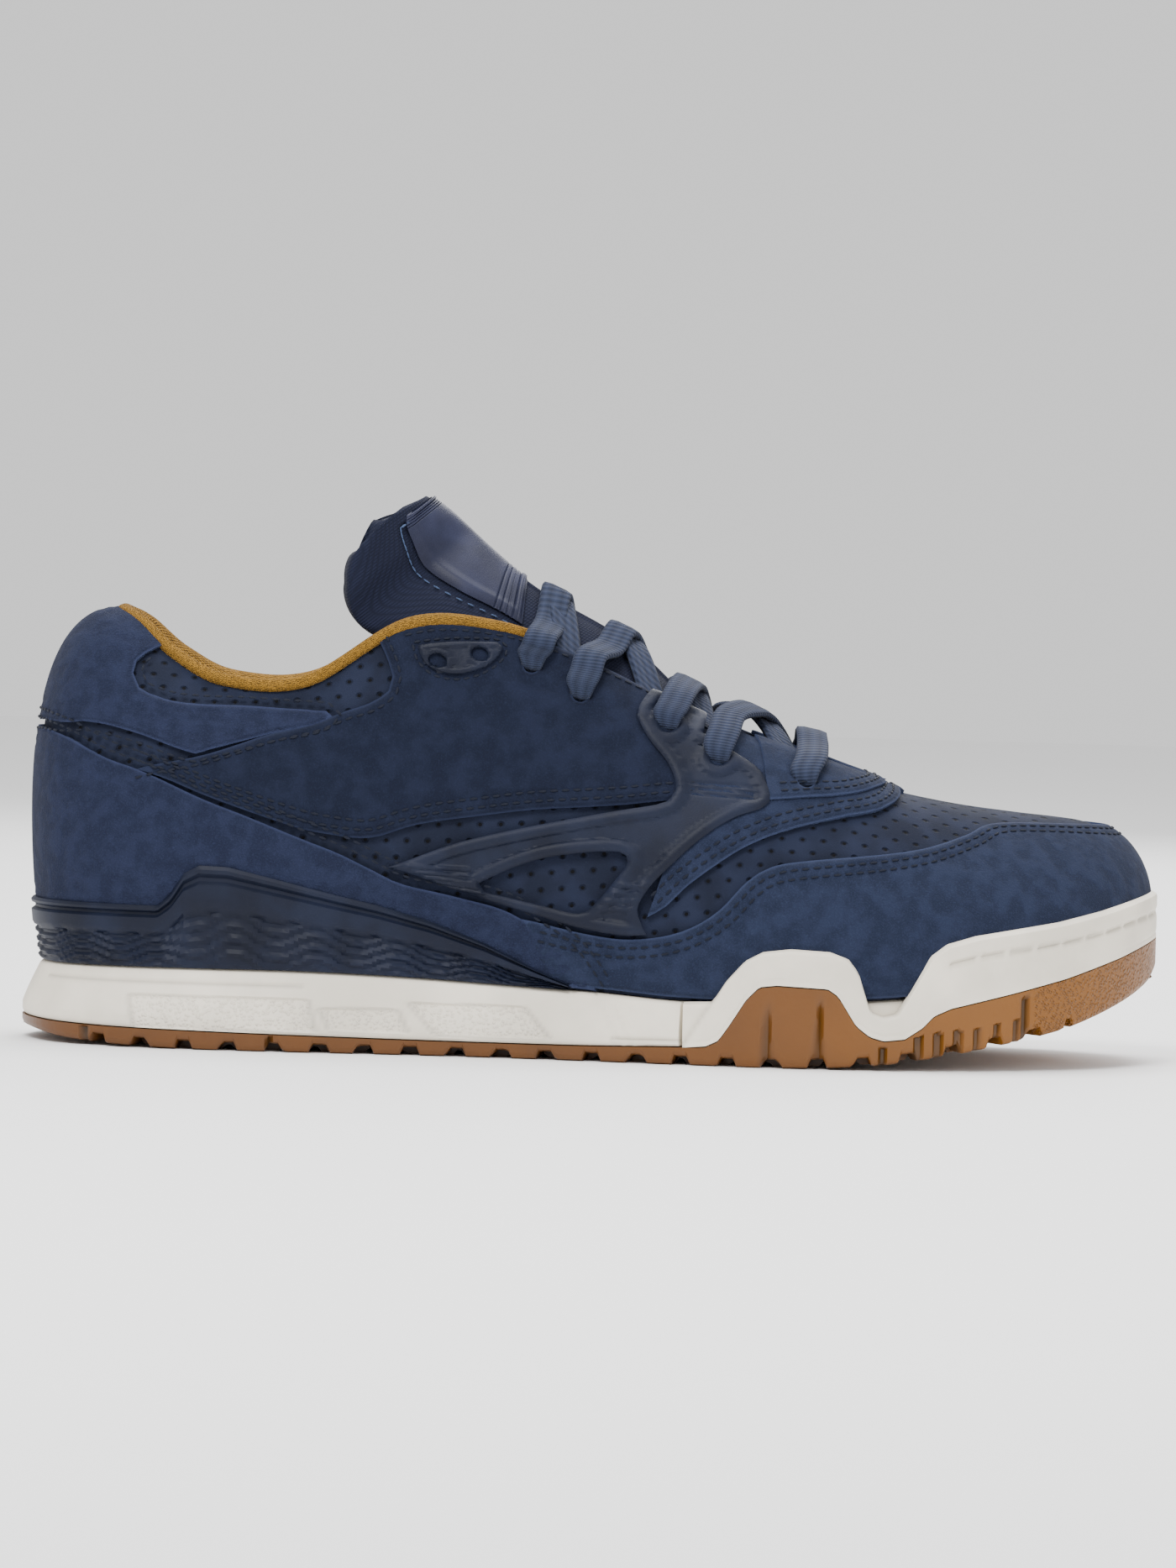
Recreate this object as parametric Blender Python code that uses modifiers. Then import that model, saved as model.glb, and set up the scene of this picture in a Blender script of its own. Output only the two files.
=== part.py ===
"""A right skateboarding shoe as separate closed solids, in metres.

The shoe stands on the floor, which is z = 0, with its toe along +X and its lateral side at -Y.
Every curved piece comes from two forms: the edge of the sole, and the ribs of the upper, which
run from the sole up to the collar, the throat or the spine of the toe box.
"""
import math
from functools import lru_cache

import bmesh
import bpy
from mathutils import Matrix, Vector

# Driving dimensions, in metres
LENGTH = 0.300
BALL_WIDTH = 0.110
COLLAR_HEIGHT = 0.1125
SOLE_HEIGHT = 0.0205
WALL = 0.0024
OVERLAY = 0.0013
RIM = 0.0038
LEDGE = 0.0015
FIT = 0.0003
OVERLAY_GAP = 0.0005
EDGE_BREAK = 0.0015
INSOLE_THICKNESS = 0.004
TONGUE_THICKNESS = 0.006
LABEL_THICKNESS = 0.0012
PADDING = 0.0075
COLLAR_ROLL = 0.0022
PLATE_THICKNESS = 0.0015
EYELET_RADIUS = 0.0021
LACE_WIDTH = 0.008
LACE_THICKNESS = 0.0016
LACE_SHIFT = 0.030
LACE_LIFT = OVERLAY + 5 * OVERLAY_GAP
LACE_CLEARANCE = 0.0018
LACE_ARCH = 0.003
THROAT_SLOPE = 0.45
LUG_DEPTH = 0.0022
LUG_GAP = 0.0042
LUG_REACH = 0.009
LUG_PITCH = 0.0118
SLOT_WIDTH = 0.0018
SLOT_DEPTH = 0.0014
GROOVE_RADIUS = 0.0016
GROOVE_TIP_RADIUS = 0.0004

# Sides of the foot
LATERAL = -1
MEDIAL = 1

# Outline of the sole, from the middle of the heel to the tip of the toe.
# Columns: lateral along, lateral across, medial along, medial across.
# Along is a share of LENGTH, and across is a share of half of BALL_WIDTH.
OUTLINE = [
    (0.000, -0.02, 0.000, 0.02),
    (0.012, 0.30, 0.012, 0.32),
    (0.040, 0.51, 0.040, 0.53),
    (0.090, 0.665, 0.090, 0.68),
    (0.160, 0.74, 0.160, 0.745),
    (0.250, 0.755, 0.250, 0.735),
    (0.340, 0.745, 0.340, 0.69),
    (0.420, 0.77, 0.420, 0.655),
    (0.500, 0.835, 0.500, 0.685),
    (0.580, 0.915, 0.580, 0.775),
    (0.660, 0.98, 0.660, 0.885),
    (0.740, 0.995, 0.740, 0.97),
    (0.800, 0.945, 0.800, 1.00),
    (0.860, 0.84, 0.865, 0.96),
    (0.918, 0.645, 0.925, 0.85),
    (0.962, 0.38, 0.969, 0.66),
    (0.990, 0.09, 0.993, 0.44),
    (1.000, -0.18, 1.000, 0.18),
]

# Heights of the sole at each row of the outline, as shares of SOLE_HEIGHT.
# Columns: underside, top of the rubber plate, top of the midsole.
SOLE_LEVELS = [
    (0.165, 0.300, 1.015),
    (0.140, 0.290, 1.015),
    (0.078, 0.270, 1.015),
    (0.030, 0.250, 1.020),
    (0.000, 0.232, 1.025),
    (0.000, 0.210, 1.025),
    (0.000, 0.192, 0.985),
    (0.000, 0.186, 0.925),
    (0.000, 0.195, 0.870),
    (0.000, 0.225, 0.795),
    (0.000, 0.232, 0.810),
    (0.058, 0.285, 0.865),
    (0.180, 0.410, 0.945),
    (0.350, 0.575, 1.075),
    (0.555, 0.780, 1.270),
    (0.810, 1.025, 1.465),
    (1.050, 1.265, 1.590),
    (1.240, 1.415, 1.640),
]

# Ribs of the upper at each row of the outline.
# Columns: crown along, half of the gap at the crown, crown height, middle of the foot,
# tuck of the foot of the rib, lean, rise, reach, swell.
# Along is a share of LENGTH, gap and middle are shares of half of BALL_WIDTH, heights are shares of
# COLLAR_HEIGHT, tuck is a share of RIM, lean is a share of half of BALL_WIDTH, and the last three
# are shares of the rib's own height, width and height.
RIBS = [
    (0.080, 0.00, 1.000, 0.00, 0.63, 0.110, 0.44, 1.37, 0.005),
    (0.083, 0.13, 0.995, 0.00, 0.58, 0.105, 0.44, 1.34, 0.005),
    (0.100, 0.26, 0.970, 0.00, 0.50, 0.095, 0.44, 1.25, -0.02),
    (0.131, 0.37, 0.900, 0.00, 0.40, 0.080, 0.42, 1.15, -0.08),
    (0.176, 0.455, 0.845, 0.00, 0.29, 0.065, 0.40, 1.05, -0.20),
    (0.248, 0.50, 0.850, -0.01, 0.18, 0.060, 0.40, 1.00, -0.25),
    (0.333, 0.49, 0.985, -0.02, 0.08, 0.055, 0.40, 0.90, -0.24),
    (0.412, 0.45, 0.985, -0.03, 0.03, 0.050, 0.39, 0.74, -0.20),
    (0.487, 0.415, 0.915, -0.03, 0.00, 0.048, 0.38, 0.66, -0.15),
    (0.557, 0.385, 0.825, -0.02, 0.00, 0.046, 0.37, 0.62, -0.09),
    (0.627, 0.345, 0.745, 0.00, 0.00, 0.045, 0.36, 0.62, -0.05),
    (0.690, 0.285, 0.688, 0.03, 0.00, 0.045, 0.38, 0.60, -0.03),
    (0.730, 0.180, 0.650, 0.06, 0.00, 0.048, 0.42, 0.60, -0.02),
    (0.750, 0.00, 0.628, 0.08, 0.00, 0.052, 0.47, 0.62, 0.00),
    (0.795, 0.00, 0.602, 0.11, 0.00, 0.058, 0.50, 0.66, 0.02),
    (0.842, 0.00, 0.584, 0.13, 0.00, 0.066, 0.54, 0.72, 0.05),
    (0.875, 0.00, 0.575, 0.14, 0.00, 0.074, 0.57, 0.76, 0.07),
    (0.892, 0.00, 0.571, 0.15, 0.00, 0.080, 0.58, 0.76, 0.08),
]

# Shares of the way up a rib where the upper has its rows, closer where the collar turns in
RIB_ROWS = (0.0, 0.14, 0.28, 0.42, 0.55, 0.67, 0.78, 0.87, 0.94, 1.0)
LINING_FOOT_ROW = 4

# Shares of the way across an overlay that ends where the upper turns in
TURNING_ROWS = (0.0, 0.25, 0.47, 0.66, 0.82, 0.93, 1.0)

HEEL = 0
TOE = len(OUTLINE) - 1
THROAT_FRONT = 13
BAND_START = 9
SLIVER = 0.02

# Edges seen from the side: along as a share of LENGTH, height as a share of COLLAR_HEIGHT
BAND_TOP = [
    (0.580, 0.145), (0.604, 0.148), (0.617, 0.200), (0.632, 0.245), (0.647, 0.266),
    (0.671, 0.274), (0.705, 0.270), (0.721, 0.255), (0.730, 0.225), (0.741, 0.136), (0.753, 0.124),
    (0.765, 0.131), (0.780, 0.200), (0.794, 0.265), (0.809, 0.293), (0.835, 0.312), (0.873, 0.328),
    (0.911, 0.344), (0.949, 0.367), (1.000, 0.405),
]
BAND_FOOT = [
    (0.580, 0.041), (0.600, 0.046), (0.611, 0.060), (0.621, 0.100), (0.634, 0.156), (0.645, 0.186),
    (0.660, 0.191), (0.704, 0.186), (0.713, 0.170), (0.729, 0.103), (0.741, 0.079), (0.753, 0.070),
    (0.771, 0.075), (0.786, 0.101), (0.796, 0.129), (0.811, 0.147), (0.869, 0.185), (0.912, 0.215),
    (0.962, 0.259), (1.000, 0.299),
]
WEDGE_TOP = [
    (0.000, 0.332), (0.125, 0.330), (0.136, 0.356), (0.147, 0.406), (0.160, 0.425), (0.184, 0.423),
    (0.219, 0.402), (0.277, 0.366), (0.315, 0.344), (0.361, 0.310), (0.408, 0.264), (0.455, 0.206),
    (0.483, 0.175), (0.487, 0.0),
]
COUNTER_TOP = [
    (0.000, 0.730), (0.035, 0.730), (0.105, 0.646), (0.160, 0.582), (0.208, 0.537), (0.277, 0.474),
    (0.351, 0.402), (0.424, 0.339), (0.460, 0.303), (0.490, 0.237), (0.509, 0.165),
]
QUARTER_FOOT = [
    (0.105, 0.646), (0.160, 0.582), (0.208, 0.537), (0.274, 0.474), (0.306, 0.501), (0.364, 0.534),
    (0.422, 0.554), (0.494, 0.569), (0.545, 0.580), (0.570, 0.600),
]
QUARTER_TOP = [
    (0.105, 0.650), (0.152, 0.678), (0.202, 0.711), (0.274, 0.784), (0.304, 0.815), (0.318, 1.100),
]
COLLAR_PANEL_FOOT = [
    (0.000, 0.736), (0.057, 0.745), (0.093, 0.723), (0.152, 0.678), (0.202, 0.711), (0.274, 0.784),
    (0.304, 0.815), (0.318, 1.100),
]

GUARD_TOP = [
    (0.440, 0.322), (0.460, 0.312), (0.497, 0.296), (0.544, 0.284), (0.584, 0.312), (0.605, 0.352),
    (0.626, 0.402), (0.648, 0.442), (0.669, 0.467), (0.713, 0.489), (0.771, 0.505), (0.821, 0.526),
    (0.864, 0.554), (0.900, 0.587), (0.950, 0.640),
]
GUARD_FOOT = [
    (0.440, 0.330), (0.460, 0.303), (0.490, 0.237), (0.509, 0.165), (0.515, 0.0), (0.577, 0.0),
    *BAND_TOP,
]
PLATE_TOP = [(0.343, 0.925), (0.350, 0.938), (0.408, 0.942), (0.415, 0.930)]
PLATE_FOOT = [(0.343, 0.915), (0.372, 0.868), (0.392, 0.866), (0.415, 0.918)]

# Overlays that turn up to the throat, as lines across them from their outer to their inner edge.
# Columns: outer along, outer height, inner along, inner height.
SADDLE = [
    (0.328, 0.430, 0.328, 0.442), (0.350, 0.412, 0.350, 0.475), (0.424, 0.359, 0.393, 0.521),
    (0.497, 0.315, 0.451, 0.554), (0.548, 0.302, 0.520, 0.566), (0.582, 0.437, 0.564, 0.572),
    (0.611, 0.517, 0.572, 0.600), (0.641, 0.567, 0.572, 0.640), (0.650, 0.590, 0.571, 0.680),
    (0.630, 0.640, 0.570, 0.720), (0.608, 0.700, 0.568, 0.755), (0.590, 0.760, 0.566, 0.785),
    (0.575, 1.000, 0.561, 1.000),
]
STAY = [
    (0.664, 0.537, 0.584, 1.000), (0.683, 0.551, 0.605, 1.000), (0.705, 0.563, 0.640, 1.000),
    (0.726, 0.572, 0.675, 1.000), (0.743, 0.584, 0.700, 1.000), (0.757, 0.596, 0.722, 1.000),
    (0.769, 0.606, 0.738, 1.000), (0.778, 1.000, 0.752, 1.000),
]

# Profile of the heel wedge between its foot and its top.
# Columns: height as a share of the way up, thickness as a share of OVERLAY.
WEDGE_PROFILE = [(0.00, 1.15), (0.46, 1.30), (0.58, 2.15), (0.82, 2.20), (1.00, 1.60)]

# Tongue, from under the vamp up to the row where it leaves the collar.
# Columns: middle along, middle height, station of its edges, share of the rib where they lie,
# roundness.
TONGUE_BODY = [
    (0.742, 0.606, 12.60, 0.86, 2.00),
    (0.710, 0.652, 11.50, 0.79, 1.65),
    (0.658, 0.722, 10.50, 0.77, 1.55),
    (0.592, 0.800, 9.50, 0.77, 1.60),
    (0.525, 0.955, 8.50, 0.77, 1.55),
    (0.452, 1.062, 7.50, 0.80, 1.60),
    (0.422, 1.118, 6.90, 0.86, 1.60),
    (0.398, 1.170, 6.20, 0.93, 1.60),
]

# Free top of the tongue.
# Columns: middle along, middle height, edge along, edge height, half width, roundness.
# Half width is a share of half of BALL_WIDTH.
TONGUE_TOP = [
    (0.380, 1.213, 0.293, 0.987, 0.375, 1.80),
    (0.364, 1.250, 0.282, 1.076, 0.430, 1.90),
    (0.351, 1.275, 0.287, 1.156, 0.440, 1.90),
    (0.342, 1.288, 0.304, 1.232, 0.385, 2.00),
]

# Thickness of the padding round the collar, as a share of PADDING at each station
COLLAR_PADDING = [(0.0, 1.0), (3.0, 1.0), (4.5, 0.75), (5.4, 0.36), (6.2, 0.22), (7.6, 0.16)]

# Slots in the side of the rubber: along, low and high ends, as shares of LENGTH and SOLE_HEIGHT
FLANK_SLOTS = [(0.061, -0.1, 0.24), (0.223, -0.1, 0.20), (0.752, -0.1, 0.30), (0.876, 0.20, 0.95)]

# Grooves that taper up the flank below the rise of the toe bumper, as shares of LENGTH
FLANK_GROOVES = (0.652, 0.697)

# Eyelets on each side, toe first: along as a share of LENGTH, height as a share of COLLAR_HEIGHT
EYELETS = [
    (0.680, 0.640), (0.604, 0.692), (0.559, 0.765), (0.484, 0.837), (0.441, 0.902),
    (0.396, 0.922), (0.360, 0.906),
]

# Colours: red, green and blue in linear light, roughness
SUEDE = ((0.020, 0.026, 0.062), 0.92)
MOULDED_NAVY = ((0.012, 0.016, 0.036), 0.55)
CANVAS_NAVY = ((0.016, 0.020, 0.046), 0.85)
LACE_NAVY = ((0.045, 0.058, 0.110), 0.85)
WHITE_RUBBER = ((0.700, 0.680, 0.600), 0.55)
GUM = ((0.330, 0.150, 0.030), 0.50)
OCHRE = ((0.480, 0.290, 0.070), 0.90)
FOAM = ((0.250, 0.240, 0.220), 0.90)


def clear_scene():
    """Removes every object of the file that the script starts in."""
    for found in list(bpy.data.objects):
        bpy.data.objects.remove(found, do_unlink=True)


def make_collection(name):
    collection = bpy.data.collections.new(name)
    bpy.context.scene.collection.children.link(collection)
    return collection


@lru_cache(maxsize=None)
def make_material(name, colour, roughness):
    material = bpy.data.materials.new(name)
    material.use_nodes = True
    shader = material.node_tree.nodes["Principled BSDF"]
    shader.inputs["Base Color"].default_value = (*colour, 1.0)
    shader.inputs["Roughness"].default_value = roughness
    shader.inputs["Metallic"].default_value = 0.0
    material.diffuse_color = (*colour, 1.0)
    return material


# Curves through the tables
def through(before, start, end, after, share):
    """Catmull-Rom curve between start and end."""
    slope_in = (end - before) / 2
    slope_out = (after - start) / 2
    square = share * share
    cube = square * share
    return (
        (2 * cube - 3 * square + 1) * start
        + (cube - 2 * square + share) * slope_in
        + (3 * square - 2 * cube) * end
        + (cube - square) * slope_out
    )


def from_rows(row_value, station):
    """Smooth value at a station, where row_value gives the value at a whole row."""
    row = min(max(math.floor(station), HEEL), TOE - 1)
    values = [row_value(row + step) for step in (-1, 0, 1, 2)]
    return through(*values, station - row)


def mirrored(table, column, sign=1):
    """Row reader for a column that is the same on both sides, or that changes its sign."""
    def read(row):
        if row < HEEL:
            return sign * table[-row][column]
        if row > TOE:
            return sign * table[2 * TOE - row][column]
        return table[row][column]
    return read


def on_edge(edge, along):
    """Height of an edge seen from the side, in metres, at a place along the shoe."""
    share = along / LENGTH + 0.5
    if share <= edge[0][0]:
        return edge[0][1] * COLLAR_HEIGHT
    for (left, low), (right, high) in zip(edge, edge[1:]):
        if share <= right:
            return (low + (high - low) * (share - left) / (right - left)) * COLLAR_HEIGHT
    return edge[-1][1] * COLLAR_HEIGHT


# Form of the sole
def outline_row(side, row):
    if row < HEEL:
        return outline_row(-side, -row)
    if row > TOE:
        return outline_row(-side, 2 * TOE - row)
    lateral_along, lateral_across, medial_along, medial_across = OUTLINE[row]
    along = lateral_along if side == LATERAL else medial_along
    across = -lateral_across if side == LATERAL else medial_across
    return Vector(((along - 0.5) * LENGTH, across * BALL_WIDTH / 2, 0.0))


def heel_middle(side, row):
    """Outline row, with both sides sharing the middle of the heel and of the toe."""
    point = outline_row(side, row)
    if row == HEEL:
        point.y = 0.0
    if row == TOE:
        point.y = OUTLINE[TOE][3] * BALL_WIDTH / 2
    return point


@lru_cache(maxsize=None)
def outline(side, station):
    """Point of the sole's outer edge, with its outward direction."""
    def place(where):
        return from_rows(lambda row: heel_middle(side, row), where)
    step = 0.02
    ahead = place(min(station + step, TOE))
    behind = place(max(station - step, HEEL))
    if station <= HEEL:
        outward = Vector((-1.0, 0.0, 0.0))
    elif station >= TOE:
        outward = Vector((1.0, 0.0, 0.0))
    else:
        run = ahead - behind
        outward = Vector((-run.y * side, run.x * side, 0.0)).normalized()
    return place(station), outward


def level(station, column):
    return from_rows(mirrored(SOLE_LEVELS, column), station) * SOLE_HEIGHT


def underside(station):
    return level(station, 0)


def plate_top(station):
    return level(station, 1)


def sole_top(station):
    return level(station, 2)


def sole_point(side, station, inset, height):
    """Point at a height, a distance inside the outer edge."""
    edge, outward = outline(side, station)
    point = edge - outward * inset
    return Vector((point.x, point.y, height))


def tuck(station):
    """Distance from the sole's outer edge to the foot of the upper."""
    return RIM + FIT + from_rows(mirrored(RIBS, 4), station) * RIM


# Form of the upper
@lru_cache(maxsize=None)
def rib(side, station):
    """Four control points of the rib, from the sole to the crown."""
    along, gap, height, middle, _, lean, rise, reach, swell = (
        from_rows(mirrored(RIBS, column, -1 if column == 1 else 1), station) for column in range(9)
    )
    if station >= THROAT_FRONT:
        gap = 0.0
    foot = sole_point(side, station, tuck(station), sole_top(station) + FIT)
    half_width = BALL_WIDTH / 2
    crown = Vector((
        (along - 0.5) * LENGTH,
        (middle + side * gap) * half_width,
        height * COLLAR_HEIGHT,
    ))
    across = Vector((foot.x - crown.x, foot.y - crown.y, 0.0))
    width = across.length
    outward = across.normalized()
    tall = Vector((0.0, 0.0, crown.z - foot.z))
    return (
        foot,
        foot + outward * lean * half_width + tall * rise,
        crown + outward * width * reach + tall * swell,
        crown,
    )


def bare_point(side, station, share):
    """Point of the upper's outer face, at a share of the way up a rib."""
    foot, lower, upper, crown = rib(side, station)
    rest = 1.0 - share
    return (
        foot * rest ** 3
        + lower * 3 * rest ** 2 * share
        + upper * 3 * rest * share ** 2
        + crown * share ** 3
    )


@lru_cache(maxsize=None)
def upper_point(side, station, share, lift=0.0):
    """Point above or below the upper's outer face, along the face's normal."""
    step = 0.01
    point = bare_point(side, station, share)
    low = bare_point(side, station, max(share - step, 0.0))
    high = bare_point(side, station, min(share + step, 1.0))
    up = high - low
    if station <= HEEL:
        run = Vector((0.0, side, 0.0))
    elif station >= TOE:
        run = Vector((0.0, -side, 0.0))
    else:
        ahead = bare_point(side, min(station + step, TOE), share)
        behind = bare_point(side, max(station - step, HEEL), share)
        run = ahead - behind
    normal = run.cross(up) * -side
    if station >= THROAT_FRONT and share >= 1.0:
        normal = Vector((-run.z, 0.0, run.x)) if station < TOE else Vector((0.0, 0.0, 1.0))
    return point + normal.normalized() * lift


@lru_cache(maxsize=None)
def share_at(side, station, edge_name):
    """Share of the way up a rib where it crosses an edge that is drawn from the side."""
    edge = EDGES[edge_name]
    if edge_name in SOLE_EDGES:
        return share_at_height(side, station, on_edge(edge, outline(side, station)[0].x))
    low = 0.0
    high = 1.0
    if bare_point(side, station, high).z <= on_edge(edge, bare_point(side, station, high).x):
        return high
    for _ in range(26):
        middle = (low + high) / 2
        point = bare_point(side, station, middle)
        if point.z < on_edge(edge, point.x):
            low = middle
        else:
            high = middle
    return high


CROWN = (None, 0.0)
SOLE_EDGES = ("guard_foot",)
EDGES = {
    "band_top": BAND_TOP,
    "band_foot": BAND_FOOT,
    "wedge_top": WEDGE_TOP,
    "counter_top": COUNTER_TOP,
    "quarter_foot": QUARTER_FOOT,
    "quarter_top": QUARTER_TOP,
    "collar_panel_foot": COLLAR_PANEL_FOOT,
    "guard_foot": GUARD_FOOT,
    "guard_top": GUARD_TOP,
    "plate_top": PLATE_TOP,
    "plate_foot": PLATE_FOOT,
}


@lru_cache(maxsize=None)
def seen_at(side, along, height):
    """Station and share of the rib point that shows at a place seen from the side."""
    low = float(HEEL)
    high = float(TOE)
    for _ in range(26):
        middle = (low + high) / 2
        share = share_at_height(side, middle, height * COLLAR_HEIGHT)
        if bare_point(side, middle, share).x < (along - 0.5) * LENGTH:
            low = middle
        else:
            high = middle
    return low, share_at_height(side, low, height * COLLAR_HEIGHT)


def share_at_height(side, station, height):
    """Share of the way up a rib where it reaches a height."""
    low = 0.0
    high = 1.0
    for _ in range(26):
        middle = (low + high) / 2
        if bare_point(side, station, middle).z < height:
            low = middle
        else:
            high = middle
    return high


# Stations, which are finer where the toe bumper dips and rises
def all_stations():
    fine_start, fine_end = 9, 13
    stations = []
    for row in range(TOE):
        pieces = 3 if fine_start <= row < fine_end else 2
        stations += [row + piece / pieces for piece in range(pieces)]
    return stations + [float(TOE)]


STATIONS = all_stations()


def between(side, start, end):
    """Stations of one side from start to end, as places on the shoe."""
    inner = [station for station in STATIONS if start + 0.01 < station < end - 0.01]
    return [(side, station) for station in [start, *inner, end]]


def around_heel(reach):
    lateral = between(LATERAL, HEEL, reach)
    medial = between(MEDIAL, HEEL, reach)
    return lateral[::-1] + medial[1:]


def around_toe(start):
    lateral = between(LATERAL, start, TOE)
    medial = between(MEDIAL, start, TOE)
    return lateral + medial[::-1][1:]


# Solids from a bent grid
def finish(mesh_data, name, material, is_open=False):
    """Turns a bmesh into a named object of the shoe."""
    bmesh.ops.remove_doubles(mesh_data, verts=mesh_data.verts, dist=0.00001)
    bmesh.ops.dissolve_degenerate(mesh_data, edges=mesh_data.edges, dist=0.000002)
    bmesh.ops.recalc_face_normals(mesh_data, faces=mesh_data.faces)
    if is_open:
        point_outward(mesh_data)
    mesh = bpy.data.meshes.new(name)
    mesh_data.to_mesh(mesh)
    mesh_data.free()
    mesh.shade_smooth()
    mesh.set_sharp_from_angle(angle=math.radians(35))
    solid = bpy.data.objects.new(name, mesh)
    solid.data.materials.append(make_material(name, *material))
    SHOE.objects.link(solid)
    return solid


def bent_grid(columns, rows, place):
    """Flat grid whose every vertex is moved to place(column, row)."""
    mesh_data = bmesh.new()
    bmesh.ops.create_grid(
        mesh_data, x_segments=columns, y_segments=rows, size=0.5,
        matrix=Matrix.Translation((0.5, 0.5, 0.0)),
    )
    for vertex in mesh_data.verts:
        vertex.co = place(round(vertex.co.x * columns), round(vertex.co.y * rows))
    return mesh_data


def loft(name, material, places, ring, capped=True):
    """Solid whose closed section ring(*place) moves along the places."""
    rings = [ring(*place) for place in places]
    count = len(rings[0])
    mesh_data = bent_grid(
        len(rings) - 1, count, lambda column, row: rings[column][row % count]
    )
    bmesh.ops.remove_doubles(mesh_data, verts=mesh_data.verts, dist=0.00001)
    if capped:
        ends = [edge for edge in mesh_data.edges if edge.is_boundary]
        bmesh.ops.holes_fill(mesh_data, edges=ends, sides=0)
    return finish(mesh_data, name, material)


def thickened(mesh_data, name, material, thickness):
    """Solid from an open face, thickened outward where the thickness is positive."""
    solid = finish(mesh_data, name, material, is_open=True)
    thicken = solid.modifiers.new("Thickness", "SOLIDIFY")
    thicken.thickness = abs(thickness)
    thicken.offset = math.copysign(1.0, thickness)
    thicken.use_even_offset = True
    return solid


def point_outward(mesh_data):
    """Flips the faces where most of them look at the inside of the shoe."""
    score = 0.0
    for face in mesh_data.faces:
        middle = face.calc_center_median()
        away = Vector((middle.x * 0.2, middle.y, middle.z - SOLE_HEIGHT))
        score += face.normal.dot(away) * face.calc_area()
    if score < 0.0:
        bmesh.ops.reverse_faces(mesh_data, faces=mesh_data.faces)


# Sole pieces
def inner_wall(side, station, height):
    """Inner face of the rim, which follows the midsole and then the upper."""
    if height <= sole_top(station) + FIT:
        return sole_point(side, station, RIM, height)
    return upper_point(side, station, share_at_height(side, station, height), FIT)


def rubber_top(side, station):
    """Top of the rubber at the outer edge: the plate, or the rim below the toe bumper."""
    along = outline(side, station)[0].x
    plate = plate_top(station)
    if station < BAND_START:
        return plate
    return max(plate, on_edge(BAND_FOOT, along) - FIT)


def outsole_side(side, station):
    bottom = underside(station)
    top = rubber_top(side, station)
    shoulder = min(top, max(plate_top(station), sole_top(station)))
    return [
        sole_point(side, station, EDGE_BREAK, bottom),
        sole_point(side, station, 0.0, bottom + EDGE_BREAK),
        sole_point(side, station, 0.0, top),
        inner_wall(side, station, top),
        inner_wall(side, station, shoulder),
        sole_point(side, station, RIM, plate_top(station)),
    ]


def across_ring(half_ring):
    """Closed section from the lateral points up and the medial points down."""
    def ring(_, station):
        return half_ring(LATERAL, station) + half_ring(MEDIAL, station)[::-1]
    return ring


def midsole_side(side, station):
    foot = plate_top(station) + FIT
    top = sole_top(station)
    in_rim = station >= BAND_START
    low_inset = RIM + FIT if in_rim else 0.0
    top_inset = RIM + FIT if in_rim else tuck(station) - LEDGE
    belly = foot + (top - foot) * 0.2
    return [
        sole_point(side, station, low_inset, foot),
        sole_point(side, station, low_inset, belly),
        sole_point(side, station, top_inset, top),
    ]


def band_side(side, station):
    along = outline(side, station)[0].x
    low = on_edge(BAND_FOOT, along)
    high = on_edge(BAND_TOP, along)
    middle = (low + high) / 2
    soft = EDGE_BREAK / 2
    return [
        sole_point(side, station, 0.0, low),
        sole_point(side, station, 0.0, high - soft),
        sole_point(side, station, soft, high),
        inner_wall(side, station, high),
        inner_wall(side, station, middle),
        inner_wall(side, station, low),
    ]


def wedge_side(side, station):
    top = share_at(side, station, "wedge_top")
    outer = [upper_point(side, station, top * up, FIT + OVERLAY * thick) for up, thick in WEDGE_PROFILE]
    inner = [upper_point(side, station, top * up, FIT) for up in (1.0, 0.5, 0.0)]
    return outer + inner


def insole_side(side, station):
    base = sole_top(station) + FIT
    inner = upper_point(side, station, 0.0, -(WALL + 2 * FIT))
    return [
        Vector((inner.x, inner.y, base)),
        Vector((inner.x, inner.y, base + INSOLE_THICKNESS)),
    ]


def build_sole():
    along_foot = [(LATERAL, station) for station in STATIONS]
    outsole = loft("outsole", GUM, along_foot, across_ring(outsole_side), capped=False)
    cut_tread(outsole)
    loft("midsole", WHITE_RUBBER, along_foot, across_ring(midsole_side), capped=False)
    loft("insole", FOAM, along_foot, across_ring(insole_side), capped=False)
    loft("foxing_band", WHITE_RUBBER, around_toe(BAND_START), band_side)
    loft("heel_wedge", MOULDED_NAVY, around_heel(7.75), wedge_side)


def make_cutter(mesh_data, name):
    mesh = bpy.data.meshes.new(name)
    mesh_data.to_mesh(mesh)
    mesh_data.free()
    cutter = bpy.data.objects.new(name, mesh)
    cutter.hide_render = True
    cutter.display_type = "WIRE"
    CUTTERS.objects.link(cutter)
    return cutter


def cut(solid, other):
    change = solid.modifiers.new(other.name, "BOOLEAN")
    change.operation = "DIFFERENCE"
    change.solver = "EXACT"
    change.object = other


def station_along(side, along):
    """Station where the sole's outer edge reaches a place along the shoe."""
    low = float(HEEL)
    high = float(TOE)
    for _ in range(26):
        middle = (low + high) / 2
        if outline(side, middle)[0].x < (along - 0.5) * LENGTH:
            low = middle
        else:
            high = middle
    return low


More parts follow.
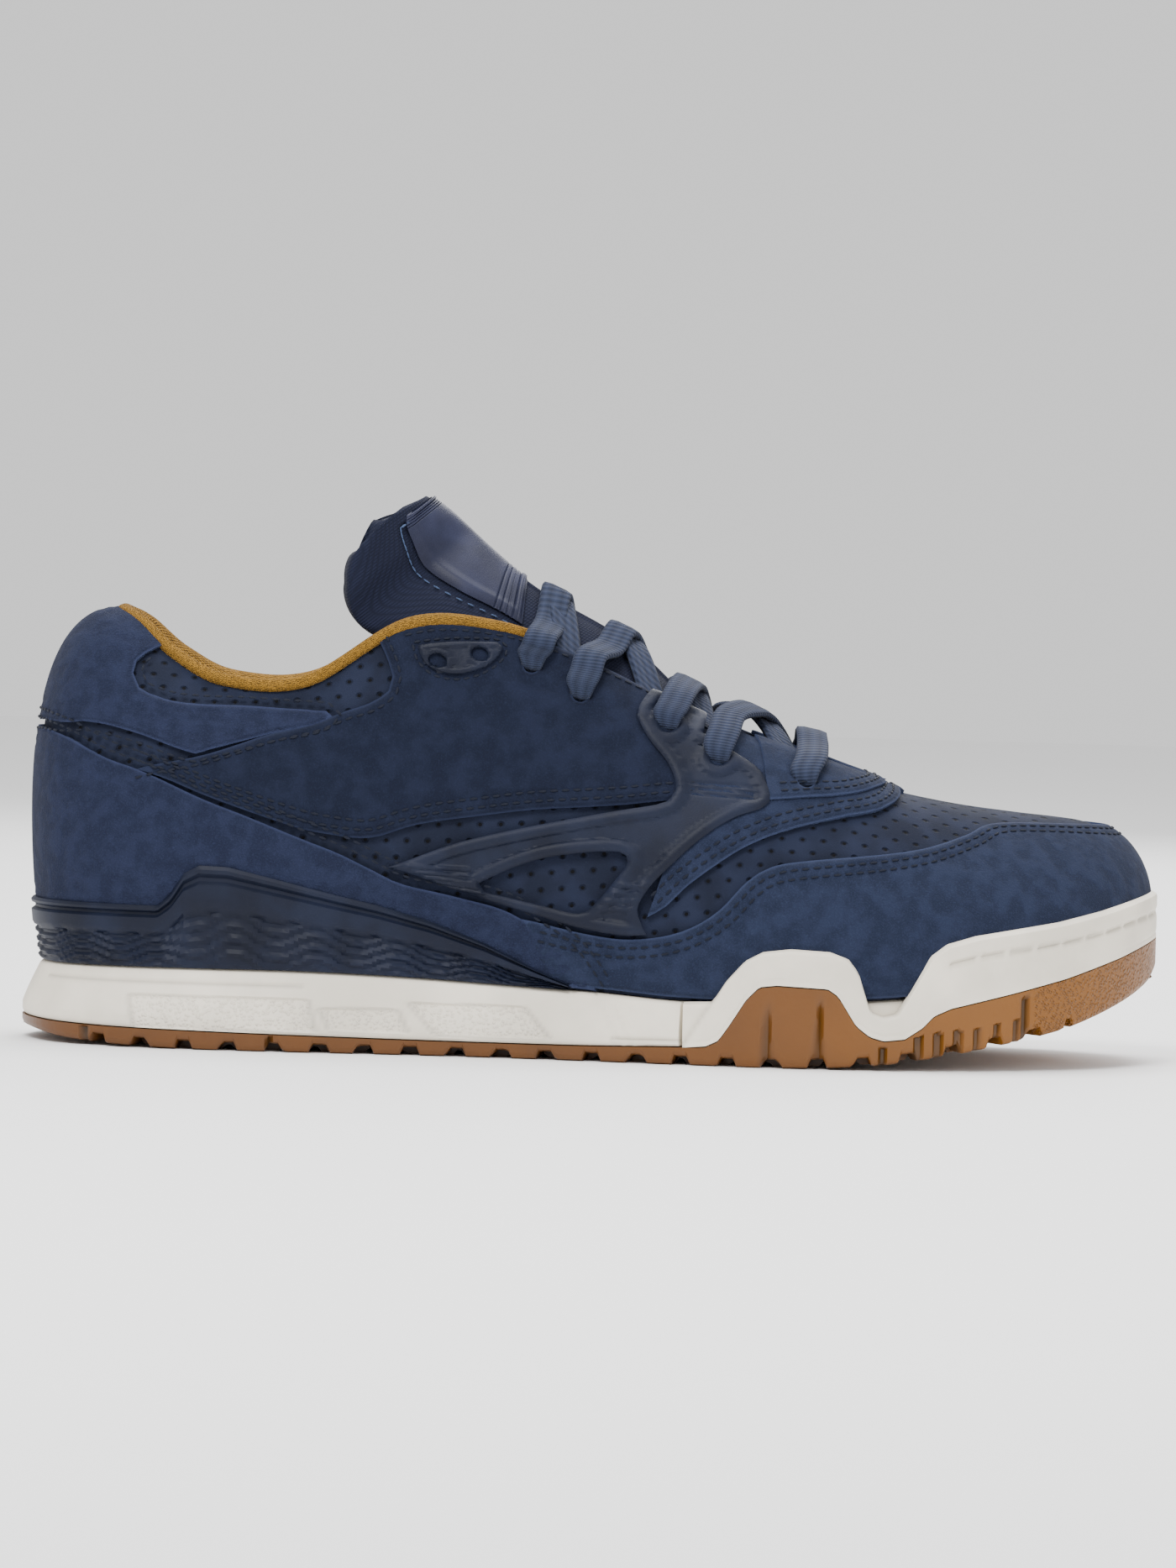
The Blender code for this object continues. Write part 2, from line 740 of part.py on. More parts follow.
def box_at_edge(mesh_data, side, station, reach, width, low, high):
    """Box across the sole's outer edge, for a gap or a slot."""
    edge, outward = outline(side, station)
    outside = 0.001
    middle = edge + outward * (outside - reach) / 2
    turn = outward.to_track_quat("X", "Z").to_matrix().to_4x4()
    size = Matrix.Diagonal((reach + outside, width, high - low, 1.0))
    place = Matrix.Translation((middle.x, middle.y, (low + high) / 2))
    bmesh.ops.create_cube(mesh_data, size=1.0, matrix=place @ turn @ size)


def cut_tread(outsole):
    """Cuts the gaps between the edge lugs, and the slots and grooves of the flanks."""
    gaps = bmesh.new()
    flanks = bmesh.new()
    for side in (LATERAL, MEDIAL):
        for station in lug_gaps(side):
            floor = underside(station)
            box_at_edge(gaps, side, station, LUG_REACH, LUG_GAP, floor - LUG_DEPTH, floor + LUG_DEPTH)
        for along, low, high in FLANK_SLOTS:
            station = station_along(side, along)
            box_at_edge(flanks, side, station, SLOT_DEPTH, SLOT_WIDTH,
                        low * SOLE_HEIGHT, high * SOLE_HEIGHT)
        for along in FLANK_GROOVES:
            edge = outline(side, station_along(side, along))[0]
            bmesh.ops.create_cone(
                flanks, cap_ends=True, segments=8, radius1=GROOVE_RADIUS, radius2=GROOVE_TIP_RADIUS,
                depth=SOLE_HEIGHT, matrix=Matrix.Translation((edge.x, edge.y, SOLE_HEIGHT * 0.42)),
            )
    cut(outsole, make_cutter(flanks, "flank_cutter"))
    cut(outsole, make_cutter(gaps, "lug_gap_cutter"))


def lug_gaps(side):
    """Stations of the gaps between lugs, at an even pitch along the edge."""
    stations = []
    travelled = 0.0
    before = outline(side, 2.0)[0]
    steps = 900
    for step in range(1, steps):
        station = 2.0 + (14.0 - 2.0) * step / steps
        here = outline(side, station)[0]
        travelled += (here - before).length
        before = here
        if travelled >= LUG_PITCH:
            travelled -= LUG_PITCH
            stations.append(station)
    return stations


# Upper and what lies on it
def build_upper():
    ring = around_heel(TOE)
    face = bent_grid(
        len(ring) - 1, len(RIB_ROWS) - 1,
        lambda column, row: upper_point(*ring[column], RIB_ROWS[row]),
    )
    upper = thickened(face, "upper", CANVAS_NAVY, -WALL)
    even = tuple(row / 4 for row in range(5))
    finer = tuple(row / 6 for row in range(7))
    patch("heel_counter", SUEDE, [
        rib_grid(around_heel(8.75), ("wedge_top", 3 * FIT), ("counter_top", -FIT), even),
    ])
    patch("toe_mudguard", SUEDE, [
        rib_grid(around_toe(7.25), ("guard_foot", 5 * FIT), ("guard_top", -FIT), finer),
    ])
    patch("collar_panel", SUEDE, [
        rib_grid(around_heel(5.75), ("collar_panel_foot", FIT), CROWN, TURNING_ROWS),
    ])
    stay = patch("vamp_stay", SUEDE, [
        strip_grid(side, STAY, TURNING_ROWS) for side in (LATERAL, MEDIAL)
    ], lift=2.6 * OVERLAY_GAP)
    pierced = [upper, stay]
    for side, name in ((LATERAL, "lateral"), (MEDIAL, "medial")):
        pierced.append(patch("quarter_" + name, SUEDE, [
            rib_grid(between(side, 3.2, 8.85), ("quarter_foot", FIT), ("quarter_top", -FIT), TURNING_ROWS),
        ]))
        pierced.append(patch("saddle_" + name, MOULDED_NAVY, [strip_grid(side, SADDLE, finer)]))
        pierced.append(patch("eyelet_plate_" + name, MOULDED_NAVY, [
            rib_grid(between(side, 6.2, 7.1), ("plate_foot", 0.0), ("plate_top", 0.0), (0.0, 0.5, 1.0)),
        ], lift=OVERLAY_GAP + OVERLAY + FIT, thickness=PLATE_THICKNESS))
    punch = eyelet_cutter()
    for piece in pierced:
        cut(piece, punch)


def eyelet_cutter():
    """Pins through the upper and its overlays, one at each eyelet."""
    mesh_data = bmesh.new()
    for side in (LATERAL, MEDIAL):
        for along, height in EYELETS:
            station, share = seen_at(side, along, height)
            inside = upper_point(side, station, share, -2 * WALL)
            outside = upper_point(side, station, share, 2 * WALL + PLATE_THICKNESS)
            axis = outside - inside
            turn = axis.to_track_quat("Z", "Y").to_matrix().to_4x4()
            place = Matrix.Translation((inside + outside) / 2)
            bmesh.ops.create_cone(
                mesh_data, cap_ends=True, segments=6, radius1=EYELET_RADIUS,
                radius2=EYELET_RADIUS, depth=axis.length, matrix=place @ turn,
            )
    return make_cutter(mesh_data, "eyelet_cutter")


def edge_share(side, station, edge):
    """Share of the way up a rib at an edge, moved up the rib by a margin."""
    edge_name, margin = edge
    if edge_name is None:
        return 1.0
    share = share_at(side, station, edge_name)
    if not 0.0 < share < 1.0:
        return share
    foot, _, _, crown = rib(side, station)
    return min(max(share + margin / (crown - foot).length, 0.0), 1.0)


def rib_grid(places, foot, top, rows):
    """Columns of an overlay that run up the ribs between two edges."""
    columns = []
    for side, station in places:
        low = edge_share(side, station, foot)
        high = edge_share(side, station, top)
        if high - low > SLIVER:
            columns.append([(side, station, low + (high - low) * row) for row in rows])
    return columns


def strip_grid(side, lines, rows):
    """Columns of an overlay that run across it, from its outer to its inner edge."""
    columns = []
    for outer_along, outer_height, inner_along, inner_height in lines:
        station, share = seen_at(side, outer_along, outer_height)
        inner_station, inner_share = seen_at(side, inner_along, inner_height)
        columns.append([
            (side, station + (inner_station - station) * row, share + (inner_share - share) * row)
            for row in rows
        ])
    return columns


def patch(name, material, grids, lift=OVERLAY_GAP, thickness=OVERLAY):
    """Overlay a clearance above the upper's face, from one or more grids of places."""
    mesh_data = bmesh.new()
    for columns in grids:
        grid = bent_grid(
            len(columns) - 1, len(columns[0]) - 1,
            lambda column, row: upper_point(*columns[column][row], lift),
        )
        grid_mesh = bpy.data.meshes.new(name)
        grid.to_mesh(grid_mesh)
        grid.free()
        mesh_data.from_mesh(grid_mesh)
        bpy.data.meshes.remove(grid_mesh)
    return thickened(mesh_data, name, material, thickness)


# Inside of the shoe
def along_table(table, where):
    """Straight run between the rows of a table of pairs."""
    for (left, low), (right, high) in zip(table, table[1:]):
        if where <= right:
            return low + (high - low) * (where - left) / (right - left)
    return table[-1][1]


def padding(station):
    return PADDING * along_table(COLLAR_PADDING, station)


def lining_ring(side, station):
    """Section of the collar's padding: up the upper's inner face, over its top and down inside."""
    thick = padding(station)
    crown = rib(side, station)[3]
    along_rib = (crown - rib(side, station)[2]).normalized()
    against = -(WALL + FIT)

    def over(depth, rise):
        return upper_point(side, station, 1.0, depth) + along_rib * rise

    foot_share = RIB_ROWS[LINING_FOOT_ROW]
    up_inside = [upper_point(side, station, share, against) for share in RIB_ROWS[LINING_FOOT_ROW:-1]]
    return up_inside + [
        over(against, 2 * FIT),
        over(-WALL / 4, 2 * FIT),
        over(-WALL / 4, COLLAR_ROLL),
        over(-WALL - thick / 2, COLLAR_ROLL * 1.2),
        over(-WALL - thick, COLLAR_ROLL * 0.4),
        upper_point(side, station, 0.84, against - thick),
        upper_point(side, station, 0.68, against - thick * 0.7),
        upper_point(side, station, foot_share, against - thick * 0.15),
    ]


def tongue_row(row):
    """Middle, lateral edge, medial edge and roundness of one row of the tongue."""
    row = min(max(row, 0), len(TONGUE_BODY) + len(TONGUE_TOP) - 1)
    half_width = BALL_WIDTH / 2
    if row < len(TONGUE_BODY):
        along, height, station, share, roundness = TONGUE_BODY[row]
        depth = WALL + 2 * FIT
        if station < COLLAR_PADDING[-1][0]:
            depth += padding(station) + FIT
        lateral = upper_point(LATERAL, station, share, -depth)
        medial = upper_point(MEDIAL, station, share, -depth)
    else:
        along, height, edge_along, edge_height, width, roundness = TONGUE_TOP[row - len(TONGUE_BODY)]
        lateral = Vector(((edge_along - 0.5) * LENGTH, -width * half_width, edge_height * COLLAR_HEIGHT))
        medial = Vector((lateral.x, -lateral.y, lateral.z))
    middle = Vector(((along - 0.5) * LENGTH, (lateral.y + medial.y) / 2, height * COLLAR_HEIGHT))
    return middle, lateral, medial, roundness


@lru_cache(maxsize=None)
def tongue_point(row, across):
    """Point of the tongue's front face; across runs from -1 at the lateral edge to 1."""
    middle, lateral, medial, roundness = (
        from_tongue(row, part) for part in range(4)
    )
    edge = lateral if across < 0 else medial
    share = abs(across)
    bend = share ** roundness
    return Vector((
        middle.x + (edge.x - middle.x) * bend,
        middle.y + (edge.y - middle.y) * share,
        middle.z + (edge.z - middle.z) * bend,
    ))


def from_tongue(row, part):
    whole = math.floor(row)
    values = [tongue_row(whole + step)[part] for step in (-1, 0, 1, 2)]
    return through(*values, row - whole)


def tongue_shell(name, material, rows, across, counts, lift, thickness):
    """Part of the tongue's face between two rows, thickened."""
    columns, lines = counts

    def place(column, line):
        row = rows[0] + (rows[1] - rows[0]) * line / lines
        share = across * (2 * column / columns - 1)
        step = 0.05
        here = tongue_point(row, share)
        up = tongue_point(row + step, share) - tongue_point(row - step, share)
        over = tongue_point(row, min(share + step, 1)) - tongue_point(row, max(share - step, -1))
        return here + over.cross(up).normalized() * lift

    return thickened(bent_grid(columns, lines, place), name, material, thickness)


def build_inside():
    """Padding, tongue and label; the label keeps to whole steps of the tongue's own grid."""
    loft("collar_lining", OCHRE, around_heel(7.0), lining_ring)
    columns, lines = 10, 16
    last_row = len(TONGUE_BODY) + len(TONGUE_TOP) - 1
    step = last_row / lines
    label_columns, label_start, label_end = 6, 8, 15
    tongue_shell("tongue", CANVAS_NAVY, (0.0, last_row), 1.0, (columns, lines), 0.0, -TONGUE_THICKNESS)
    tongue_shell("tongue_label", MOULDED_NAVY, (label_start * step, label_end * step),
                 label_columns / columns, (label_columns, label_end - label_start), FIT,
                 LABEL_THICKNESS)


# Laces
def crown_at(side, along):
    """Station where the crown reaches a place along the shoe."""
    low = float(HEEL)
    high = float(THROAT_FRONT)
    for _ in range(26):
        middle = (low + high) / 2
        if rib(side, middle)[3].x < (along - 0.5) * LENGTH:
            low = middle
        else:
            high = middle
    return low


def tongue_height(x, y):
    """Height of the tongue's front face over a place in plan."""
    low = 0.0
    high = float(len(TONGUE_BODY) - 1)
    across = 0.0
    for _ in range(26):
        middle = (low + high) / 2
        width = (tongue_point(middle, 1.0 if y > 0 else -1.0).y - tongue_point(middle, 0.0).y)
        across = min(max((y - tongue_point(middle, 0.0).y) / width, 0.0), 1.0) * (1 if y > 0 else -1)
        if tongue_point(middle, across).x > x:
            low = middle
        else:
            high = middle
    return tongue_point(low, across).z


def on_overlay(side, station, share):
    """The two edges of a lace that lies over the overlays, toe edge first."""
    bare = upper_point(side, station, share)
    normal = (upper_point(side, station, share, 1.0) - bare).normalized()
    step = 0.1
    run = bare_point(side, station + step, share) - bare_point(side, station - step, share)
    half = run.normalized() * LACE_WIDTH / 2
    middle = bare + normal * LACE_LIFT
    return middle + half, middle - half


def down_to_eyelet(side, index):
    """Edges of a lace at its eyelet, half way up and where it bends over the throat's edge."""
    along, height = EYELETS[index]
    station, share = seen_at(side, along, height)
    crown_station = crown_at(side, along + LACE_SHIFT / 4)
    return [
        on_overlay(side, station, share),
        on_overlay(side, (station + crown_station) / 2, (1.0 + share) / 2),
        on_overlay(side, crown_station, 1.0),
    ]


def lace(name, index, start):
    """Lace over the throat into both eyelets of a pair.

    Where it crosses, its runs come from beside the throat's edges at the along value start, so
    it is widest there, and narrow in the middle.
    """
    lateral = down_to_eyelet(LATERAL, index)
    medial = down_to_eyelet(MEDIAL, index)
    half = LACE_WIDTH / 2

    def over_tongue(share, row):
        """Place between the bends; share runs from -1 to 1 and row from the heel edge."""
        part = (share + 1) / 2
        spread = abs(share)
        edge = 1 if row == 0 else 0
        bend = lateral[2][edge] * (1 - part) + medial[2][edge] * part
        middle = sum(end.x for end in (*lateral[2], *medial[2])) / 4
        if start is None:
            across = bend.x
        elif row == 2:
            across = middle + half + ((start - 0.5) * LENGTH - middle) * spread
        else:
            across = middle + (row - 1) * half + (bend.x - middle - (row - 1) * half) * spread
        arch = LACE_ARCH * (1.0 - share * share)
        point = Vector((across, bend.y, bend.z - (across - bend.x) * THROAT_SLOPE + arch))
        point.z = max(point.z, tongue_height(point.x, point.y) + LACE_CLEARANCE)
        return point

    def place(column, row):
        row = 2 - row
        if column in (0, 1, 2):
            return lateral[column][0 if row > 0 else 1]
        if column in (8, 9, 10):
            return medial[10 - column][0 if row > 0 else 1]
        if start is None and row == 2:
            row = 1
        return over_tongue((-0.7, -0.35, 0.0, 0.35, 0.7)[column - 3], row)

    thickened(bent_grid(10, 2, place), name, LACE_NAVY, LACE_THICKNESS)


def build_laces():
    """A straight bar at the toe end, then four crossings."""
    lace("lace_bar", 0, None)
    for index in range(1, len(EYELETS) - 2):
        lace("lace_cross_" + str(index), index, EYELETS[index - 1][0] - LACE_SHIFT)


def main():
    build_sole()
    build_upper()
    build_inside()
    build_laces()


clear_scene()
SHOE = make_collection("skateboarding_shoe")
CUTTERS = make_collection("cutters")
main()
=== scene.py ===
"""Looks of a right skateboarding shoe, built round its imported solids, in metres.

The shoe stands on z = 0 with its toe along +X and its lateral side at -Y. Panels lie on the ribs of
the upper, which run from the sole up to the collar, the throat or the spine of the toe box. A place
on the ribs is a station round the shoe, counted from the heel, and a share of the way up its rib.
"""

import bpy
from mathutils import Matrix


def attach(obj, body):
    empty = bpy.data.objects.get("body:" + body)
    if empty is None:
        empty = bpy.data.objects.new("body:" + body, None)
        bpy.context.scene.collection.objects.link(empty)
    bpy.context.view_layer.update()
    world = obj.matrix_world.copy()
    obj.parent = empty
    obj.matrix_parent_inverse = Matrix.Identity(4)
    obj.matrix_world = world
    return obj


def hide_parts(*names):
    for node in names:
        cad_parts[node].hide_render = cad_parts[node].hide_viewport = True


bl_info = {
    "name": "Skateboarding Shoe",
    "version": (1, 0, 0),
    "blender": (4, 5, 0),
    "location": "3D View > Sidebar > Shoe",
    "description": "Models the panels, sole, laces and lining of a skateboarding shoe",
    "category": "Add Mesh",
}

import math
from functools import lru_cache

import bmesh
import bpy
from mathutils import Matrix, Vector

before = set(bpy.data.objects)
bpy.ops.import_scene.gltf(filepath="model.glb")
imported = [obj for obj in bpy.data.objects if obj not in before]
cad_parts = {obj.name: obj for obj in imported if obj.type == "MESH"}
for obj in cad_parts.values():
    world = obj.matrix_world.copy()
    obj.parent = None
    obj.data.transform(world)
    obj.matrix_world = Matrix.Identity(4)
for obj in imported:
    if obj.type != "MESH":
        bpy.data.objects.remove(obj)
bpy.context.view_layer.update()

# Sizes of the frame, in metres
LENGTH = 0.300
BALL_WIDTH = 0.110
COLLAR_HEIGHT = 0.1125
SOLE_HEIGHT = 0.0205
WALL = 0.0024
OVERLAY = 0.0013
RIM = 0.0038
LEDGE = 0.0015
FIT = 0.0003
EDGE_BREAK = 0.0015
INSOLE_THICKNESS = 0.004
TONGUE_THICKNESS = 0.006
LABEL_THICKNESS = 0.0012
PADDING = 0.0075
COLLAR_ROLL = 0.0022
LACE_SHIFT = 0.030
LACE_ARCH = 0.003
THROAT_SLOPE = 0.45
LUG_DEPTH = 0.0022
LUG_GAP = 0.0042
LUG_REACH = 0.009
LUG_PITCH = 0.0118
LUG_START = 2.0
LUG_END = 14.0
SLOT_WIDTH = 0.0018
SLOT_DEPTH = 0.0014

# Sides of the foot
LATERAL = -1
MEDIAL = 1
SIDES = ((LATERAL, "lateral"), (MEDIAL, "medial"))

# Outline of the sole, from the middle of the heel to the tip of the toe.
# Columns: lateral along, lateral across, medial along, medial across.
# Along is a share of LENGTH, and across is a share of half of BALL_WIDTH.
OUTLINE = [
    (0.000, -0.02, 0.000, 0.02),
    (0.012, 0.30, 0.012, 0.32),
    (0.040, 0.51, 0.040, 0.53),
    (0.090, 0.665, 0.090, 0.68),
    (0.160, 0.74, 0.160, 0.745),
    (0.250, 0.755, 0.250, 0.735),
    (0.340, 0.745, 0.340, 0.69),
    (0.420, 0.77, 0.420, 0.655),
    (0.500, 0.835, 0.500, 0.685),
    (0.580, 0.915, 0.580, 0.775),
    (0.660, 0.98, 0.660, 0.885),
    (0.740, 0.995, 0.740, 0.97),
    (0.800, 0.945, 0.800, 1.00),
    (0.860, 0.84, 0.865, 0.96),
    (0.918, 0.645, 0.925, 0.85),
    (0.962, 0.38, 0.969, 0.66),
    (0.990, 0.09, 0.993, 0.44),
    (1.000, -0.18, 1.000, 0.18),
]

# Heights of the sole at each row of the outline, as shares of SOLE_HEIGHT.
# Columns: underside, top of the rubber plate, top of the midsole.
SOLE_LEVELS = [
    (0.165, 0.300, 1.015),
    (0.140, 0.290, 1.015),
    (0.078, 0.270, 1.015),
    (0.030, 0.250, 1.020),
    (0.000, 0.232, 1.025),
    (0.000, 0.210, 1.025),
    (0.000, 0.192, 0.985),
    (0.000, 0.186, 0.925),
    (0.000, 0.195, 0.870),
    (0.000, 0.225, 0.795),
    (0.000, 0.232, 0.810),
    (0.058, 0.285, 0.865),
    (0.180, 0.410, 0.945),
    (0.350, 0.575, 1.075),
    (0.555, 0.780, 1.270),
    (0.810, 1.025, 1.465),
    (1.050, 1.265, 1.590),
    (1.240, 1.415, 1.640),
]

# Ribs of the upper at each row of the outline.
# Columns: crown along, half of the gap at the crown, crown height, middle of the foot,
# tuck of the foot of the rib, lean, rise, reach, swell.
# Along is a share of LENGTH, gap and middle are shares of half of BALL_WIDTH, heights are shares of
# COLLAR_HEIGHT, tuck is a share of RIM, lean is a share of half of BALL_WIDTH, and the last three
# are shares of the rib's own height, width and height.
RIBS = [
    (0.080, 0.00, 1.000, 0.00, 0.63, 0.110, 0.44, 1.37, 0.005),
    (0.083, 0.13, 0.995, 0.00, 0.58, 0.105, 0.44, 1.34, 0.005),
    (0.100, 0.26, 0.970, 0.00, 0.50, 0.095, 0.44, 1.25, -0.02),
    (0.131, 0.37, 0.900, 0.00, 0.40, 0.080, 0.42, 1.15, -0.08),
    (0.176, 0.455, 0.845, 0.00, 0.29, 0.065, 0.40, 1.05, -0.20),
    (0.248, 0.50, 0.850, -0.01, 0.18, 0.060, 0.40, 1.00, -0.25),
    (0.333, 0.49, 0.985, -0.02, 0.08, 0.055, 0.40, 0.90, -0.24),
    (0.412, 0.45, 0.985, -0.03, 0.03, 0.050, 0.39, 0.74, -0.20),
    (0.487, 0.415, 0.915, -0.03, 0.00, 0.048, 0.38, 0.66, -0.15),
    (0.557, 0.385, 0.825, -0.02, 0.00, 0.046, 0.37, 0.62, -0.09),
    (0.627, 0.345, 0.745, 0.00, 0.00, 0.045, 0.36, 0.62, -0.05),
    (0.690, 0.285, 0.688, 0.03, 0.00, 0.045, 0.38, 0.60, -0.03),
    (0.730, 0.180, 0.650, 0.06, 0.00, 0.048, 0.42, 0.60, -0.02),
    (0.750, 0.00, 0.628, 0.08, 0.00, 0.052, 0.47, 0.62, 0.00),
    (0.795, 0.00, 0.602, 0.11, 0.00, 0.058, 0.50, 0.66, 0.02),
    (0.842, 0.00, 0.584, 0.13, 0.00, 0.066, 0.54, 0.72, 0.05),
    (0.875, 0.00, 0.575, 0.14, 0.00, 0.074, 0.57, 0.76, 0.07),
    (0.892, 0.00, 0.571, 0.15, 0.00, 0.080, 0.58, 0.76, 0.08),
]

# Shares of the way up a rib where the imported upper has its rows
RIB_ROWS = (0.0, 0.14, 0.28, 0.42, 0.55, 0.67, 0.78, 0.87, 0.94, 1.0)
LINING_FOOT_ROW = 4

HEEL = 0
TOE = len(OUTLINE) - 1
THROAT_FRONT = 13
BAND_START = 9

# Edges seen from the side: along as a share of LENGTH, height as a share of COLLAR_HEIGHT
BAND_TOP = [
    (0.580, 0.145), (0.604, 0.148), (0.617, 0.200), (0.632, 0.245), (0.647, 0.266),
    (0.671, 0.274), (0.705, 0.270), (0.721, 0.255), (0.730, 0.225), (0.741, 0.136), (0.753, 0.124),
    (0.765, 0.131), (0.780, 0.200), (0.794, 0.265), (0.809, 0.293), (0.835, 0.312), (0.873, 0.328),
    (0.911, 0.344), (0.949, 0.367), (1.000, 0.405),
]
BAND_FOOT = [
    (0.580, 0.041), (0.600, 0.046), (0.611, 0.060), (0.621, 0.100), (0.634, 0.156), (0.645, 0.186),
    (0.660, 0.191), (0.704, 0.186), (0.713, 0.170), (0.729, 0.103), (0.741, 0.079), (0.753, 0.070),
    (0.771, 0.075), (0.786, 0.101), (0.796, 0.129), (0.811, 0.147), (0.869, 0.185), (0.912, 0.215),
    (0.962, 0.259), (1.000, 0.299),
]
WEDGE_TOP = [
    (0.000, 0.332), (0.125, 0.330), (0.136, 0.356), (0.147, 0.406), (0.160, 0.425), (0.184, 0.423),
    (0.219, 0.402), (0.277, 0.366), (0.315, 0.344), (0.361, 0.310), (0.408, 0.264), (0.455, 0.206),
    (0.483, 0.175), (0.487, 0.0),
]

# Tongue, from under the vamp up to the row where it leaves the collar.
# Columns: middle along, middle height, station of its edges, share of the rib where they lie,
# roundness.
TONGUE_BODY = [
    (0.742, 0.606, 12.60, 0.86, 2.00),
    (0.710, 0.652, 11.50, 0.79, 1.65),
    (0.658, 0.722, 10.50, 0.77, 1.55),
    (0.592, 0.800, 9.50, 0.77, 1.60),
    (0.525, 0.955, 8.50, 0.77, 1.55),
    (0.452, 1.062, 7.50, 0.80, 1.60),
    (0.422, 1.118, 6.90, 0.86, 1.60),
    (0.398, 1.170, 6.20, 0.93, 1.60),
]

# Free top of the tongue.
# Columns: middle along, middle height, edge along, edge height, half width, roundness.
# Half width is a share of half of BALL_WIDTH.
TONGUE_TOP = [
    (0.380, 1.213, 0.293, 0.987, 0.375, 1.80),
    (0.364, 1.250, 0.282, 1.076, 0.430, 1.90),
    (0.351, 1.275, 0.287, 1.156, 0.440, 1.90),
    (0.342, 1.288, 0.304, 1.232, 0.385, 2.00),
]

LAST_ROW = len(TONGUE_BODY) + len(TONGUE_TOP) - 1

# Thickness of the padding round the collar, as a share of PADDING at each station
COLLAR_PADDING = [(0.0, 1.0), (3.0, 1.0), (4.5, 0.75), (5.4, 0.36), (6.2, 0.22), (7.6, 0.16)]

# Slots in the side of the rubber: along, low and high ends, as shares of LENGTH and SOLE_HEIGHT
FLANK_SLOTS = [(0.061, -0.1, 0.24), (0.223, -0.1, 0.20), (0.752, -0.1, 0.30), (0.876, 0.20, 0.95)]

# Eyelets on each side, toe first: along as a share of LENGTH, height as a share of COLLAR_HEIGHT
EYELETS = [
    (0.680, 0.640), (0.604, 0.692), (0.559, 0.765), (0.484, 0.837), (0.441, 0.902),
    (0.396, 0.922), (0.360, 0.906),
]


# Curves through the tables
def through(before, start, end, after, share):
    """Catmull-Rom curve between start and end."""
    slope_in = (end - before) / 2
    slope_out = (after - start) / 2
    square = share * share
    cube = square * share
    return (
        (2 * cube - 3 * square + 1) * start
        + (cube - 2 * square + share) * slope_in
        + (3 * square - 2 * cube) * end
        + (cube - square) * slope_out
    )


def from_rows(row_value, station):
    """Smooth value at a station, where row_value gives the value at a whole row."""
    row = min(max(math.floor(station), HEEL), TOE - 1)
    values = [row_value(row + step) for step in (-1, 0, 1, 2)]
    return through(*values, station - row)


def mirrored(table, column, sign=1):
    """Row reader for a column that is the same on both sides, or that changes its sign."""
    def read(row):
        if row < HEEL:
            return sign * table[-row][column]
        if row > TOE:
            return sign * table[2 * TOE - row][column]
        return table[row][column]
    return read


def halve(low, high, is_short, steps=26):
    """Ends of the range left round the place up to which is_short holds."""
    for _ in range(steps):
        middle = (low + high) / 2
        if is_short(middle):
            low = middle
        else:
            high = middle
    return low, high


def on_edge(edge, along):
    """Height of an edge seen from the side, in metres, at a place along the shoe."""
    share = along / LENGTH + 0.5
    if share <= edge[0][0]:
        return edge[0][1] * COLLAR_HEIGHT
    for (left, low), (right, high) in zip(edge, edge[1:]):
        if share <= right:
            return (low + (high - low) * (share - left) / (right - left)) * COLLAR_HEIGHT
    return edge[-1][1] * COLLAR_HEIGHT


# Form of the sole
def outline_row(side, row):
    """Point of the outline's table, which goes on past heel and toe to the other side."""
    if row < HEEL:
        return outline_row(-side, -row)
    if row > TOE:
        return outline_row(-side, 2 * TOE - row)
    lateral_along, lateral_across, medial_along, medial_across = OUTLINE[row]
    along = lateral_along if side == LATERAL else medial_along
    across = -lateral_across if side == LATERAL else medial_across
    return Vector(((along - 0.5) * LENGTH, across * BALL_WIDTH / 2, 0.0))


def heel_middle(side, row):
    """Outline row, with both sides sharing the middle of the heel and of the toe."""
    point = outline_row(side, row)
    if row == HEEL:
        point.y = 0.0
    if row == TOE:
        point.y = OUTLINE[TOE][3] * BALL_WIDTH / 2
    return point


@lru_cache(maxsize=None)
def outline(side, station):
    """Point of the sole's outer edge, with its outward direction."""
    def place(where):
        return from_rows(lambda row: heel_middle(side, row), where)
    step = 0.02
    ahead = place(min(station + step, TOE))
    behind = place(max(station - step, HEEL))
    if station <= HEEL:
        outward = Vector((-1.0, 0.0, 0.0))
    elif station >= TOE:
        outward = Vector((1.0, 0.0, 0.0))
    else:
        run = ahead - behind
        outward = Vector((-run.y * side, run.x * side, 0.0)).normalized()
    return place(station), outward


def level(station, column):
    """Height in metres from one column of the sole's levels."""
    return from_rows(mirrored(SOLE_LEVELS, column), station) * SOLE_HEIGHT


def underside(station):
    return level(station, 0)


def plate_top(station):
    return level(station, 1)


def sole_top(station):
    return level(station, 2)


def sole_point(side, station, inset, height):
    """Point at a height, a distance inside the outer edge."""
    edge, outward = outline(side, station)
    point = edge - outward * inset
    return Vector((point.x, point.y, height))


def tuck(station):
    """Distance from the sole's outer edge to the foot of the upper."""
    return RIM + FIT + from_rows(mirrored(RIBS, 4), station) * RIM


